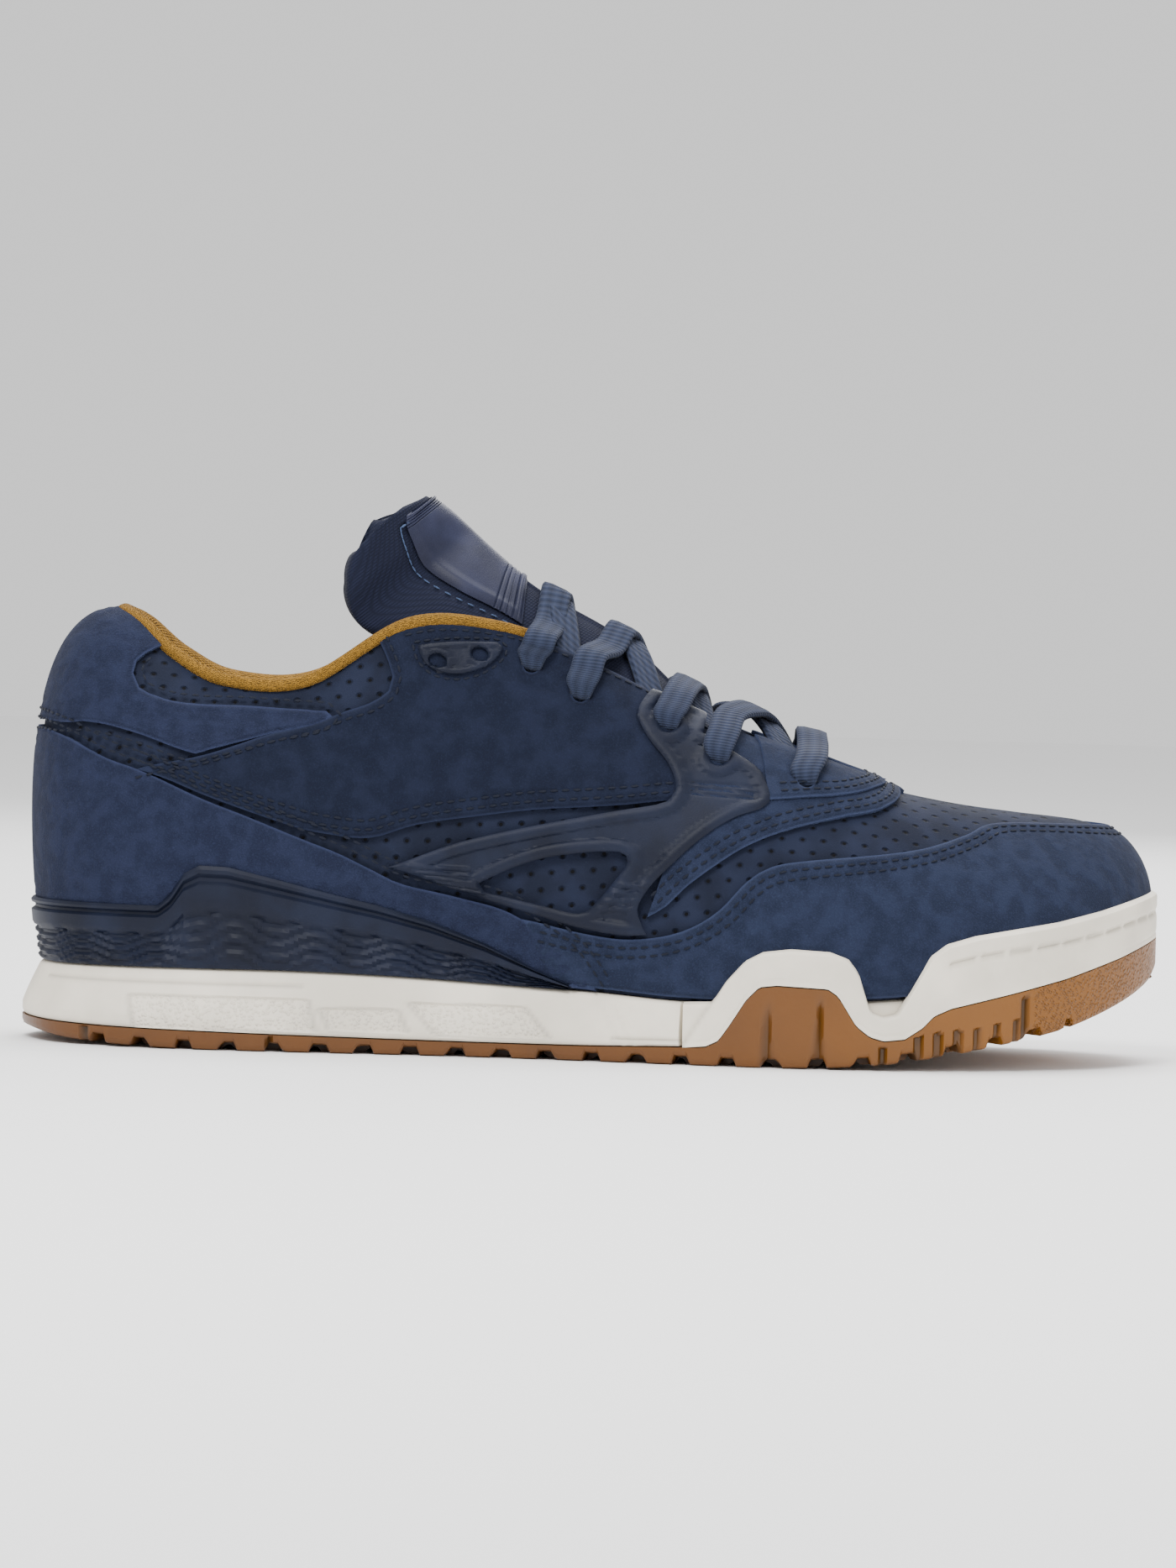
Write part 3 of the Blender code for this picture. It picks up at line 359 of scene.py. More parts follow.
# Form of the upper
@lru_cache(maxsize=None)
def rib(side, station):
    """Four control points of the rib, from the sole to the crown."""
    along, gap, height, middle, _, lean, rise, reach, swell = (
        from_rows(mirrored(RIBS, column, -1 if column == 1 else 1), station) for column in range(9)
    )
    if station >= THROAT_FRONT:
        gap = 0.0
    foot = sole_point(side, station, tuck(station), sole_top(station) + FIT)
    half_width = BALL_WIDTH / 2
    crown = Vector((
        (along - 0.5) * LENGTH,
        (middle + side * gap) * half_width,
        height * COLLAR_HEIGHT,
    ))
    across = Vector((foot.x - crown.x, foot.y - crown.y, 0.0))
    width = across.length
    outward = across.normalized()
    tall = Vector((0.0, 0.0, crown.z - foot.z))
    return (
        foot,
        foot + outward * lean * half_width + tall * rise,
        crown + outward * width * reach + tall * swell,
        crown,
    )


def bare_point(side, station, share):
    """Point of the upper's outer face, at a share of the way up a rib."""
    foot, lower, upper, crown = rib(side, station)
    rest = 1.0 - share
    return (
        foot * rest ** 3
        + lower * 3 * rest ** 2 * share
        + upper * 3 * rest * share ** 2
        + crown * share ** 3
    )


@lru_cache(maxsize=None)
def upper_point(side, station, share, lift=0.0):
    """Point above or below the upper's outer face, along the face's normal."""
    step = 0.01
    point = bare_point(side, station, share)
    low = bare_point(side, station, max(share - step, 0.0))
    high = bare_point(side, station, min(share + step, 1.0))
    up = high - low
    if station <= HEEL:
        run = bare_point(side, HEEL + step, share) - bare_point(-side, HEEL + step, share)
    elif station >= TOE:
        run = bare_point(-side, TOE - step, share) - bare_point(side, TOE - step, share)
    else:
        ahead = bare_point(side, min(station + step, TOE), share)
        behind = bare_point(side, max(station - step, HEEL), share)
        run = ahead - behind
    normal = run.cross(up) * -side
    if station >= THROAT_FRONT and share >= 1.0:
        normal = Vector((-run.z, 0.0, run.x)) if station < TOE else Vector((0.0, 0.0, 1.0))
    return point + normal.normalized() * lift


@lru_cache(maxsize=None)
def seen_at(side, along, height):
    """Station and share of the rib point that shows at a place seen from the side."""
    def share_at(station):
        return share_at_height(side, station, height * COLLAR_HEIGHT)

    def is_short(station):
        return bare_point(side, station, share_at(station)).x < (along - 0.5) * LENGTH

    station = halve(HEEL, TOE, is_short)[0]
    return station, share_at(station)


def share_at_height(side, station, height):
    """Share of the way up a rib where it reaches a height."""
    return halve(0.0, 1.0, lambda share: bare_point(side, station, share).z < height)[1]


def inner_wall(side, station, height):
    """Inner face of the rim, which follows the midsole and then the upper."""
    if height <= sole_top(station) + FIT:
        return sole_point(side, station, RIM, height)
    return upper_point(side, station, share_at_height(side, station, height), FIT)


def rubber_top(side, station):
    """Top of the rubber at the outer edge: the plate, or the rim below the toe bumper."""
    along = outline(side, station)[0].x
    plate = plate_top(station)
    if station < BAND_START:
        return plate
    return max(plate, on_edge(BAND_FOOT, along) - FIT)


def along_table(table, where):
    """Straight run between the rows of a table of pairs."""
    for (left, low), (right, high) in zip(table, table[1:]):
        if where <= right:
            return low + (high - low) * (where - left) / (right - left)
    return table[-1][1]


def padding(station):
    """Thickness of the collar's padding in metres."""
    return PADDING * along_table(COLLAR_PADDING, station)


def lining_ring(side, station):
    """Section of the collar's padding: up the upper's inner face, over its top and down inside."""
    thick = padding(station)
    crown = rib(side, station)[3]
    along_rib = (crown - rib(side, station)[2]).normalized()
    against = -(WALL + FIT)

    def over(depth, rise):
        return upper_point(side, station, 1.0, depth) + along_rib * rise

    foot_share = RIB_ROWS[LINING_FOOT_ROW]
    up_inside = [upper_point(side, station, share, against) for share in RIB_ROWS[LINING_FOOT_ROW:-1]]
    return up_inside + [
        over(against, -0.0004),
        over(0.0008, -0.0012),
        over(0.0021, -0.0004),
        over(0.0021, COLLAR_ROLL * 0.7),
        over(-WALL / 2, COLLAR_ROLL * 1.45),
        over(-WALL - thick / 2, COLLAR_ROLL * 1.3),
        over(-WALL - thick, COLLAR_ROLL * 0.4),
        upper_point(side, station, 0.84, against - thick),
        upper_point(side, station, 0.68, against - thick * 0.7),
        upper_point(side, station, foot_share, against - thick * 0.15),
    ]


def tongue_row(row):
    """Middle, lateral edge, medial edge and roundness of one row of the tongue."""
    row = min(max(row, 0), LAST_ROW)
    half_width = BALL_WIDTH / 2
    if row < len(TONGUE_BODY):
        along, height, station, share, roundness = TONGUE_BODY[row]
        depth = WALL + 2 * FIT
        if station < COLLAR_PADDING[-1][0]:
            depth += padding(station) + FIT
        lateral = upper_point(LATERAL, station, share, -depth)
        medial = upper_point(MEDIAL, station, share, -depth)
    else:
        along, height, edge_along, edge_height, width, roundness = TONGUE_TOP[row - len(TONGUE_BODY)]
        lateral = Vector(((edge_along - 0.5) * LENGTH, -width * half_width, edge_height * COLLAR_HEIGHT))
        medial = Vector((lateral.x, -lateral.y, lateral.z))
    middle = Vector(((along - 0.5) * LENGTH, (lateral.y + medial.y) / 2, height * COLLAR_HEIGHT))
    return middle, lateral, medial, roundness


@lru_cache(maxsize=None)
def tongue_point(row, across):
    """Point of the tongue's front face; across runs from -1 at the lateral edge to 1."""
    middle, lateral, medial, roundness = (
        from_tongue(row, part) for part in range(4)
    )
    edge = lateral if across < 0 else medial
    share = abs(across)
    bend = share ** roundness
    return Vector((
        middle.x + (edge.x - middle.x) * bend,
        middle.y + (edge.y - middle.y) * share,
        middle.z + (edge.z - middle.z) * bend,
    ))


def from_tongue(row, part):
    """Smooth value between the rows of the tongue."""
    whole = math.floor(row)
    values = [tongue_row(whole + step)[part] for step in (-1, 0, 1, 2)]
    return through(*values, row - whole)


def crown_at(side, along, first=HEEL, last=THROAT_FRONT):
    """Station between two others where the crown reaches a place along the shoe."""
    return halve(first, last, lambda station: rib(side, station)[3].x < (along - 0.5) * LENGTH)[0]


def tongue_height(x, y):
    """Height of the tongue's front face over a place in plan."""
    side = 1 if y > 0 else -1

    def across_at(row):
        middle = tongue_point(row, 0.0).y
        return side * min(max((y - middle) / (tongue_point(row, side).y - middle), 0.0), 1.0)

    def is_short(row):
        return tongue_point(row, across_at(row)).x > x

    row = halve(0.0, len(TONGUE_BODY) - 1, is_short)[0]
    return tongue_point(row, across_at(row)).z


# Places on the ribs, all the way round the shoe
OVAL_POINTS = 16


def spot(ring, share, lift=0.0):
    """Point at a signed station: lateral is negative, medial positive, and the toe wraps round."""
    if ring < -TOE:
        ring += 2 * TOE
    side = LATERAL if ring < 0 else MEDIAL
    return upper_point(side, abs(ring), share, lift)


def outward_at(ring, share):
    """Direction out of the upper's face at a place on the ribs."""
    return (spot(ring, share, 1.0) - spot(ring, share)).normalized()


def moved_on_ribs(ring, share, step):
    """Place on the ribs after a small move along the surface."""
    reach = 0.05
    down = min(max(share, reach), 1.0 - reach)
    along = (spot(ring + reach, share) - spot(ring - reach, share)) / (2 * reach)
    up = (spot(ring, down + reach) - spot(ring, down - reach)) / (2 * reach)
    cross = along.dot(up)
    spread = along.dot(along) * up.dot(up) - cross * cross
    if spread < 1e-12:
        return ring, share
    move_ring = (step.dot(along) * up.dot(up) - step.dot(up) * cross) / spread
    move_share = (step.dot(up) * along.dot(along) - step.dot(along) * cross) / spread
    return ring + move_ring, min(max(share + move_share, 0.0), 1.0)


def seen(side, *places):
    """Places on the ribs for points that are seen from the side."""
    found = []
    for along, height in places:
        station, share = seen_at(side, along, height)
        found.append((side * station, share))
    return found


def curve(places, step=0.0025):
    """Smooth run through places on the ribs."""
    run = []
    for index in range(len(places) - 1):
        around = [places[min(max(index + shift, 0), len(places) - 1)] for shift in (-1, 0, 1, 2)]
        span = (spot(*around[2]) - spot(*around[1])).length
        count = max(int(span / step), 1)
        for part in range(count):
            run.append(tuple(
                through(*(place[axis] for place in around), part / count) for axis in (0, 1)
            ))
    run.append(places[-1])
    return [(ring, min(max(share, 0.0), 1.0)) for ring, share in run]


def inset_run(run, distance, side=1):
    """Run moved across the surface; side 1 is to the left of its direction seen from outside."""
    moved = []
    for index, (ring, share) in enumerate(run):
        ahead = spot(*run[min(index + 1, len(run) - 1)])
        behind = spot(*run[max(index - 1, 0)])
        if (ahead - behind).length < 1e-7:
            continue
        across = outward_at(ring, share).cross(ahead - behind).normalized() * side
        moved.append(moved_on_ribs(ring, share, across * distance))
    return moved


def oval(ring, share, wide, tall, tilt):
    """Closed run round a place on the ribs."""
    outward = outward_at(ring, share)
    along = (spot(ring + 0.05, share) - spot(ring - 0.05, share)).normalized()
    up = outward.cross(along)
    found = []
    for index in range(OVAL_POINTS):
        angle = 2 * math.pi * index / OVAL_POINTS
        x = math.cos(angle) * wide
        y = math.sin(angle) * tall
        step = along * (x * math.cos(tilt) - y * math.sin(tilt))
        step += up * (x * math.sin(tilt) + y * math.cos(tilt))
        found.append(moved_on_ribs(ring, share, step))
    return found


# Panels cut from the upper's own form
RING_SCALE = 0.0176
SHARE_SCALE = 0.09
MILLIMETRES = 1000
SEAM_GAP = 0.00001
THIN_FACE = 0.000002
LEAST_STEP = 0.0002


def distance_to_run(point, points):
    """Least distance from a point to a run of points."""
    nearest = 1.0
    for start, end in zip(points, points[1:]):
        span = end - start
        length = span.length_squared
        share = min(max((point - start).dot(span) / length, 0.0), 1.0) if length else 0.0
        nearest = min(nearest, (point - start - span * share).length)
    return nearest


def flat_outline(mesh_data, run):
    """Closed wire loop in the plane of stations and shares."""
    corners = []
    for ring, share in run:
        place = Vector((ring * RING_SCALE, share * SHARE_SCALE, 0.0))
        if not corners or (corners[-1].co - place).length > LEAST_STEP:
            corners.append(mesh_data.verts.new(place))
    if (corners[0].co - corners[-1].co).length < LEAST_STEP:
        mesh_data.verts.remove(corners.pop())
    for start, end in zip(corners, corners[1:] + corners[:1]):
        mesh_data.edges.new((start, end))


def slice_grid(mesh_data, step_ring, step_share):
    """Cuts a flat outline along a grid, then joins what lies in one cell."""
    for axis, step in ((0, step_ring * RING_SCALE), (1, step_share * SHARE_SCALE)):
        values = [vertex.co[axis] for vertex in mesh_data.verts]
        normal = Vector((1.0, 0.0, 0.0)) if axis == 0 else Vector((0.0, 1.0, 0.0))
        for line in range(math.ceil(min(values) / step), math.floor(max(values) / step) + 1):
            parts = mesh_data.verts[:] + mesh_data.edges[:] + mesh_data.faces[:]
            bmesh.ops.bisect_plane(
                mesh_data, geom=parts, plane_co=normal * (line * step), plane_no=normal, dist=1e-6,
            )
    steps = (step_ring * RING_SCALE, step_share * SHARE_SCALE)

    def on_line(edge, axis):
        first, last = (vertex.co[axis] / steps[axis] for vertex in edge.verts)
        return abs(first - last) < 0.002 and abs(first - round(first)) < 0.002

    loose = [
        edge for edge in mesh_data.edges
        if len(edge.link_faces) == 2 and not on_line(edge, 0) and not on_line(edge, 1)
    ]
    bmesh.ops.dissolve_edges(mesh_data, edges=loose, use_verts=False)


def panel_mesh(outline_run, holes, steps, relief):
    """Bent sheet inside an outline, with the distance to its edge kept at every vertex."""
    mesh_data = bmesh.new()
    for run in [outline_run, *holes]:
        flat_outline(mesh_data, run)
    bmesh.ops.triangle_fill(
        mesh_data, edges=mesh_data.edges[:], use_beauty=False, normal=(0.0, 0.0, 1.0),
    )
    slice_grid(mesh_data, *steps)
    edge_runs = [[spot(*place) for place in run + run[:1]] for run in [outline_run, *holes]]
    rim = mesh_data.verts.layers.float.new("rim_distance")
    for vertex in mesh_data.verts:
        ring = vertex.co.x / RING_SCALE
        share = min(max(vertex.co.y / SHARE_SCALE, 0.0), 1.0)
        bare = spot(ring, share)
        distance = min(distance_to_run(bare, run) for run in edge_runs)
        vertex[rim] = distance * MILLIMETRES
        vertex.co = spot(ring, share, relief(bare, distance))
    bmesh.ops.remove_doubles(mesh_data, verts=mesh_data.verts, dist=0.00002)
    crowded = [face for face in mesh_data.faces if len(face.verts) > 4]
    bmesh.ops.triangulate(mesh_data, faces=crowded)
    turn_out(mesh_data)
    return mesh_data


def turn_out(mesh_data):
    """Flips the faces where most of them look at the inside of the shoe."""
    score = 0.0
    for face in mesh_data.faces:
        middle = face.calc_center_median()
        away = Vector((middle.x * 0.2, middle.y, middle.z - SOLE_HEIGHT))
        score += face.normal.dot(away) * face.calc_area()
    if score < 0.0:
        bmesh.ops.reverse_faces(mesh_data, faces=mesh_data.faces)


# Finished pieces
def finish_piece(mesh_data, name, materials, nodes=(), smooth=40.0):
    """Turns a bmesh into a piece that rides on the shoe."""
    mesh = bpy.data.meshes.new(name)
    mesh_data.to_mesh(mesh)
    mesh_data.free()
    mesh.shade_smooth()
    mesh.set_sharp_from_angle(angle=math.radians(smooth))
    piece = bpy.data.objects.new(name, mesh)
    bpy.context.scene.collection.objects.link(piece)
    for material in materials:
        mesh.materials.append(material)
    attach(piece, "root")
    if nodes:
        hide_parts(*nodes)
    return piece


def thicken(piece, thickness, rim_slot=0, soft=0.0003):
    """Gives a sheet its thickness inward, and breaks its edges."""
    wall = piece.modifiers.new("Thickness", "SOLIDIFY")
    wall.thickness = thickness
    wall.offset = -1.0
    wall.material_offset_rim = rim_slot
    if soft:
        broken = piece.modifiers.new("Broken edge", "BEVEL")
        broken.width = soft
        broken.segments = 2
        broken.limit_method = "ANGLE"
        broken.angle_limit = math.radians(60)
    return piece


def bent_grid(columns, rows, place):
    """Flat grid whose every vertex is moved to place(column, row), with its UV map."""
    mesh_data = bmesh.new()
    mesh_data.loops.layers.uv.new("UVMap")
    bmesh.ops.create_grid(
        mesh_data, x_segments=columns, y_segments=rows, size=0.5,
        matrix=Matrix.Translation((0.5, 0.5, 0.0)), calc_uvs=True,
    )
    for vertex in mesh_data.verts:
        vertex.co = place(round(vertex.co.x * columns), round(vertex.co.y * rows))
    return mesh_data


def seal(mesh_data, fill_ends=True, clean=False):
    """Joins the seam of a tube, closes its ends where asked, and turns its faces out."""
    bmesh.ops.remove_doubles(mesh_data, verts=mesh_data.verts, dist=SEAM_GAP)
    if clean:
        bmesh.ops.dissolve_degenerate(mesh_data, edges=mesh_data.edges, dist=THIN_FACE)
    if fill_ends:
        ends = [edge for edge in mesh_data.edges if edge.is_boundary]
        bmesh.ops.holes_fill(mesh_data, edges=ends, sides=0)
    bmesh.ops.recalc_face_normals(mesh_data, faces=mesh_data.faces)


def between(start, end, step):
    """Even values from start to end, about one step apart."""
    count = max(round((end - start) / step), 1)
    return [start + (end - start) * index / count for index in range(count + 1)]


# Materials
def maths(tree, operation, *values):
    """Math node; a value is a number or another node's output."""
    made = tree.nodes.new("ShaderNodeMath")
    made.operation = operation
    for socket, value in zip(made.inputs, values):
        if isinstance(value, bpy.types.NodeSocket):
            tree.links.new(value, socket)
        else:
            socket.default_value = value
    return made.outputs[0]


def smooth_step(tree, value, low, high):
    """Eases from 0 at low to 1 at high, where high may be the smaller one."""
    made = tree.nodes.new("ShaderNodeMapRange")
    made.interpolation_type = "SMOOTHSTEP"
    tree.links.new(value, made.inputs["Value"])
    flip = low > high
    made.inputs["From Min"].default_value = min(low, high)
    made.inputs["From Max"].default_value = max(low, high)
    made.inputs["To Min"].default_value = 1.0 if flip else 0.0
    made.inputs["To Max"].default_value = 0.0 if flip else 1.0
    return made.outputs["Result"]


def noise(tree, scale, detail):
    """Noise texture on the object's own place."""
    made = tree.nodes.new("ShaderNodeTexNoise")
    made.inputs["Scale"].default_value = scale
    made.inputs["Detail"].default_value = detail
    place = tree.nodes.new("ShaderNodeTexCoord")
    tree.links.new(place.outputs["Object"], made.inputs["Vector"])
    return made.outputs["Fac"]


def mixed(tree, mask, first, second):
    """Colour between two colours; each is linear red, green and blue, or another node's output."""
    made = tree.nodes.new("ShaderNodeMix")
    made.data_type = "RGBA"
    tree.links.new(mask, made.inputs[0])
    for socket, colour in ((made.inputs[6], first), (made.inputs[7], second)):
        if isinstance(colour, bpy.types.NodeSocket):
            tree.links.new(colour, socket)
        else:
            socket.default_value = (*colour, 1.0)
    return made.outputs[2]


def start_group(name, inputs, outputs):
    """New node group with float sockets, and its inner input and output nodes."""
    group = bpy.data.node_groups.new(name, "ShaderNodeTree")
    for label, default in inputs:
        socket = group.interface.new_socket(name=label, in_out="INPUT", socket_type="NodeSocketFloat")
        socket.default_value = default
    for label in outputs:
        group.interface.new_socket(name=label, in_out="OUTPUT", socket_type="NodeSocketFloat")
    return group, group.nodes.new("NodeGroupInput"), group.nodes.new("NodeGroupOutput")


def scaled_noise(group, given, label, detail):
    made = group.nodes.new("ShaderNodeTexNoise")
    made.inputs["Detail"].default_value = detail
    place = group.nodes.new("ShaderNodeTexCoord")
    group.links.new(place.outputs["Object"], made.inputs["Vector"])
    group.links.new(given.outputs[label], made.inputs["Scale"])
    return made.outputs["Fac"]


def nap_group():
    """Suede nap: broad patches where the nap lies another way, and fine fibres."""
    group, given, result = start_group(
        "Suede nap", [("Patch Scale", 90.0), ("Fibre Scale", 2600.0)], ["Patch", "Fibre"],
    )
    patch = scaled_noise(group, given, "Patch Scale", 3.0)
    group.links.new(smooth_step(group, patch, 0.36, 0.66), result.inputs["Patch"])
    fibre = scaled_noise(group, given, "Fibre Scale", 2.0)
    group.links.new(fibre, result.inputs["Fibre"])
    return group


def holes_group():
    """Round holes in staggered rows, on any two distances over the surface."""
    group, given, result = start_group(
        "Staggered holes",
        [("Along", 0.0), ("Up", 0.0), ("Pitch", 0.0054), ("Row", 0.005), ("Radius", 0.0007)],
        ["Hole", "Dip"],
    )
    along, up, pitch, row, radius = (given.outputs[index] for index in range(5))
    half = maths(group, "MULTIPLY", pitch, 0.5)

    def distance(shift_along, shift_up):
        x = maths(group, "PINGPONG", maths(group, "ADD", along, shift_along), half)
        y = maths(group, "PINGPONG", maths(group, "ADD", up, shift_up), row)
        squares = maths(group, "ADD", maths(group, "MULTIPLY", x, x), maths(group, "MULTIPLY", y, y))
        return maths(group, "SQRT", squares)

    nearest = maths(group, "MINIMUM", distance(0.0, 0.0), distance(half, row))
    share = maths(group, "DIVIDE", nearest, radius)
    group.links.new(smooth_step(group, share, 1.15, 0.85), result.inputs["Hole"])
    group.links.new(smooth_step(group, share, 2.1, 0.8), result.inputs["Dip"])
    return group


def weave_group():
    """Plain weave on two distances over the surface."""
    group, given, result = start_group(
        "Plain weave", [("Along", 0.0), ("Up", 0.0), ("Thread", 0.0009)], ["Height"],
    )
    waves = []
    for label in ("Along", "Up"):
        turn = maths(group, "DIVIDE", given.outputs[label], given.outputs["Thread"])
        waves.append(maths(group, "SINE", maths(group, "MULTIPLY", turn, math.pi)))
    height = maths(group, "MULTIPLY", waves[0], waves[1])
    group.links.new(maths(group, "ABSOLUTE", height), result.inputs["Height"])
    return group


def pebble_group():
    """Small round grains."""
    group, given, result = start_group("Pebble", [("Scale", 900.0)], ["Height"])
    grains = group.nodes.new("ShaderNodeTexVoronoi")
    place = group.nodes.new("ShaderNodeTexCoord")
    group.links.new(place.outputs["Object"], grains.inputs["Vector"])
    group.links.new(given.outputs["Scale"], grains.inputs["Scale"])
    group.links.new(smooth_step(group, grains.outputs["Distance"], 0.6, 0.1), result.inputs["Height"])
    return group


def braid_group():
    """Flat braid of a lace: slanted strands that meet at the middle, on the lace's own UV map."""
    group, given, result = start_group(
        "Flat braid", [("Along", 0.0), ("Across", 0.0), ("Strands", 60.0)], ["Height", "Seam"],
    )
    away = maths(group, "ABSOLUTE", maths(group, "SUBTRACT", given.outputs["Across"], 0.5))
    run = maths(group, "MULTIPLY", given.outputs["Along"], given.outputs["Strands"])
    slanted = maths(group, "ADD", run, maths(group, "MULTIPLY", away, 5.0))
    strand = maths(group, "PINGPONG", slanted, 0.5)
    crossing = maths(group, "PINGPONG", maths(group, "MULTIPLY", away, 9.0), 0.5)
    group.links.new(maths(group, "ADD", strand, crossing), result.inputs["Height"])
    group.links.new(smooth_step(group, away, 0.05, 0.0), result.inputs["Seam"])
    return group


GROUPS = {}


def placed_group(tree, name):
    """Places a shared node group, which is made the first time."""
    makers = {
        "nap": nap_group, "holes": holes_group, "weave": weave_group, "pebble": pebble_group,
        "braid": braid_group,
    }
    if name not in GROUPS:
        GROUPS[name] = makers[name]()
    made = tree.nodes.new("ShaderNodeGroup")
    made.node_tree = GROUPS[name]
    return made


def start_material(name, roughness, **settings):
    """New material, with what stays the same over the surface set on its shader."""
    material = bpy.data.materials.new(name)
    material.use_nodes = True
    tree = material.node_tree
    shader = tree.nodes["Principled BSDF"]
    shader.inputs["Roughness"].default_value = roughness
    shader.inputs["Specular IOR Level"].default_value = 0.15
    for label, value in settings.items():
        shader.inputs[label.replace("_", " ").title()].default_value = value
    return material, tree, shader


def set_colour(tree, shader, colour):
    """Sets or links the base colour."""
    if isinstance(colour, bpy.types.NodeSocket):
        tree.links.new(colour, shader.inputs["Base Color"])
    else:
        shader.inputs["Base Color"].default_value = (*colour, 1.0)


def set_bump(tree, shader, layers):
    """Chains bumps; each layer is a height and its depth in metres."""
    normal = None
    for height, depth in layers:
        bump = tree.nodes.new("ShaderNodeBump")
        bump.inputs["Strength"].default_value = 1.0
        bump.inputs["Distance"].default_value = depth
        tree.links.new(height, bump.inputs["Height"])
        if normal:
            tree.links.new(normal, bump.inputs["Normal"])
        normal = bump.outputs["Normal"]
    tree.links.new(normal, shader.inputs["Normal"])


def axes(tree, space):
    """The x, y and z outputs of the object's own place, or of its UV map."""
    split = tree.nodes.new("ShaderNodeSeparateXYZ")
    place = tree.nodes.new("ShaderNodeTexCoord")
    tree.links.new(place.outputs[space], split.inputs[0])
    return split.outputs[:]


def attribute(tree, name):
    """Value that a piece keeps at its vertices."""
    made = tree.nodes.new("ShaderNodeAttribute")
    made.attribute_name = name
    return made.outputs["Fac"]


def shades(colour, low, high):
    """A darker and a paler shade of one colour."""
    return tuple(part * low for part in colour), tuple(part * high for part in colour)


def suede(name, colour, patch_scale=190.0, fibre=0.00022, nap=(0.84, 1.2)):
    """Napped suede with a pale band at its cut edge, which is a painted highlight where the edge catches
    light together with the cut's own paler colour, and dips along its stitched border.
    """
    material, tree, shader = start_material(name, 0.9, sheen_weight=0.02, sheen_roughness=0.5)
    shader.inputs["Specular IOR Level"].default_value = 0.08
    group = placed_group(tree, "nap")
    group.inputs["Patch Scale"].default_value = patch_scale
    dark, light = shades(colour, *nap)
    nap_colour = mixed(tree, group.outputs["Patch"], dark, light)
    speck = smooth_step(tree, group.outputs["Fibre"], 0.45, 0.75)
    specked = mixed(tree, maths(tree, "MULTIPLY", speck, 0.35), nap_colour, shades(colour, 1, 2.1)[1])
    rim = attribute(tree, "rim_distance")
    # Painted highlight along the cut edge, mixed with the cut's own paler colour
    edge_highlight_and_paler_cut = smooth_step(tree, rim, 0.9, 0.05)
    pale = shades(colour, 1, 2.6)[1]
    set_colour(tree, shader, mixed(tree, maths(tree, "MULTIPLY", edge_highlight_and_paler_cut, 0.55), specked, pale))
    layers = [
        (smooth_step(tree, rim, 0.0, 1.4), 0.0004), (group.outputs["Patch"], 0.0002),
        (group.outputs["Fibre"], fibre),
    ]
    set_bump(tree, shader, layers)
    return material


def raw_edge(colour):
    """Cut edge of the suede, pale and fibrous."""
    material, tree, shader = start_material("raw suede edge", 0.95)
    fibres = noise(tree, 1800.0, 4.0)
    dark, light = shades(colour, 1.3, 3.4)
    set_colour(tree, shader, mixed(tree, fibres, dark, light))
    set_bump(tree, shader, [(fibres, 0.0003)])
    return material


def perforated_suede(colour):
    """Smooth-brushed base of the upper with its rows of round holes, painted near black as the shade
    inside them.
    """
    material, tree, shader = start_material("perforated base", 0.85)
    x, y, z = axes(tree, "Object")
    holes = placed_group(tree, "holes")
    tree.links.new(x, holes.inputs["Along"])
    flat = maths(tree, "MULTIPLY", maths(tree, "ABSOLUTE", y), -0.75)
    tree.links.new(maths(tree, "ADD", z, flat), holes.inputs["Up"])
    holes.inputs["Row"].default_value = 0.0046
    holes.inputs["Radius"].default_value = 0.00052
    nap = placed_group(tree, "nap")
    dark, light = shades(colour, 0.8, 1.3)
    base = mixed(tree, nap.outputs["Patch"], dark, light)
    # Painted shade in the perforations
    set_colour(tree, shader, mixed(tree, holes.outputs["Hole"], base, HOLE_SHADE))
    dip = maths(tree, "SUBTRACT", 1.0, holes.outputs["Dip"])
    set_bump(tree, shader, [(dip, 0.0006), (nap.outputs["Fibre"], 0.00012)])
    return material


def moulded(name, colour, roughness=0.5):
    """Moulded navy rubber with a very fine grain and a soft bloom of dust."""
    material, tree, shader = start_material(name, roughness)
    grain = noise(tree, 3500.0, 2.0)
    cloud = noise(tree, 60.0, 3.0)
    dark, light = shades(colour, 0.8, 1.45)
    set_colour(tree, shader, mixed(tree, smooth_step(tree, cloud, 0.35, 0.7), dark, light))
    rough = maths(tree, "ADD", maths(tree, "MULTIPLY", cloud, 0.18), roughness - 0.09)
    tree.links.new(rough, shader.inputs["Roughness"])
    set_bump(tree, shader, [(grain, 0.00005)])
    return material


def canvas(name, colour, thread=0.0009):
    """Plain woven cloth on the piece's own distances."""
    material, tree, shader = start_material(name, 0.88, sheen_weight=0.02)
    x, y, z = axes(tree, "Object")
    weave = placed_group(tree, "weave")
    tree.links.new(y, weave.inputs["Along"])
    tree.links.new(maths(tree, "SUBTRACT", z, maths(tree, "MULTIPLY", x, 0.8)), weave.inputs["Up"])
    weave.inputs["Thread"].default_value = thread
    cloud = noise(tree, 120.0, 3.0)
    dark, light = shades(colour, 0.75, 1.35)
    mask = maths(tree, "MULTIPLY", weave.outputs["Height"], maths(tree, "ADD", cloud, 0.35))
    set_colour(tree, shader, mixed(tree, mask, dark, light))
    set_bump(tree, shader, [(weave.outputs["Height"], 0.00012)])
    return material


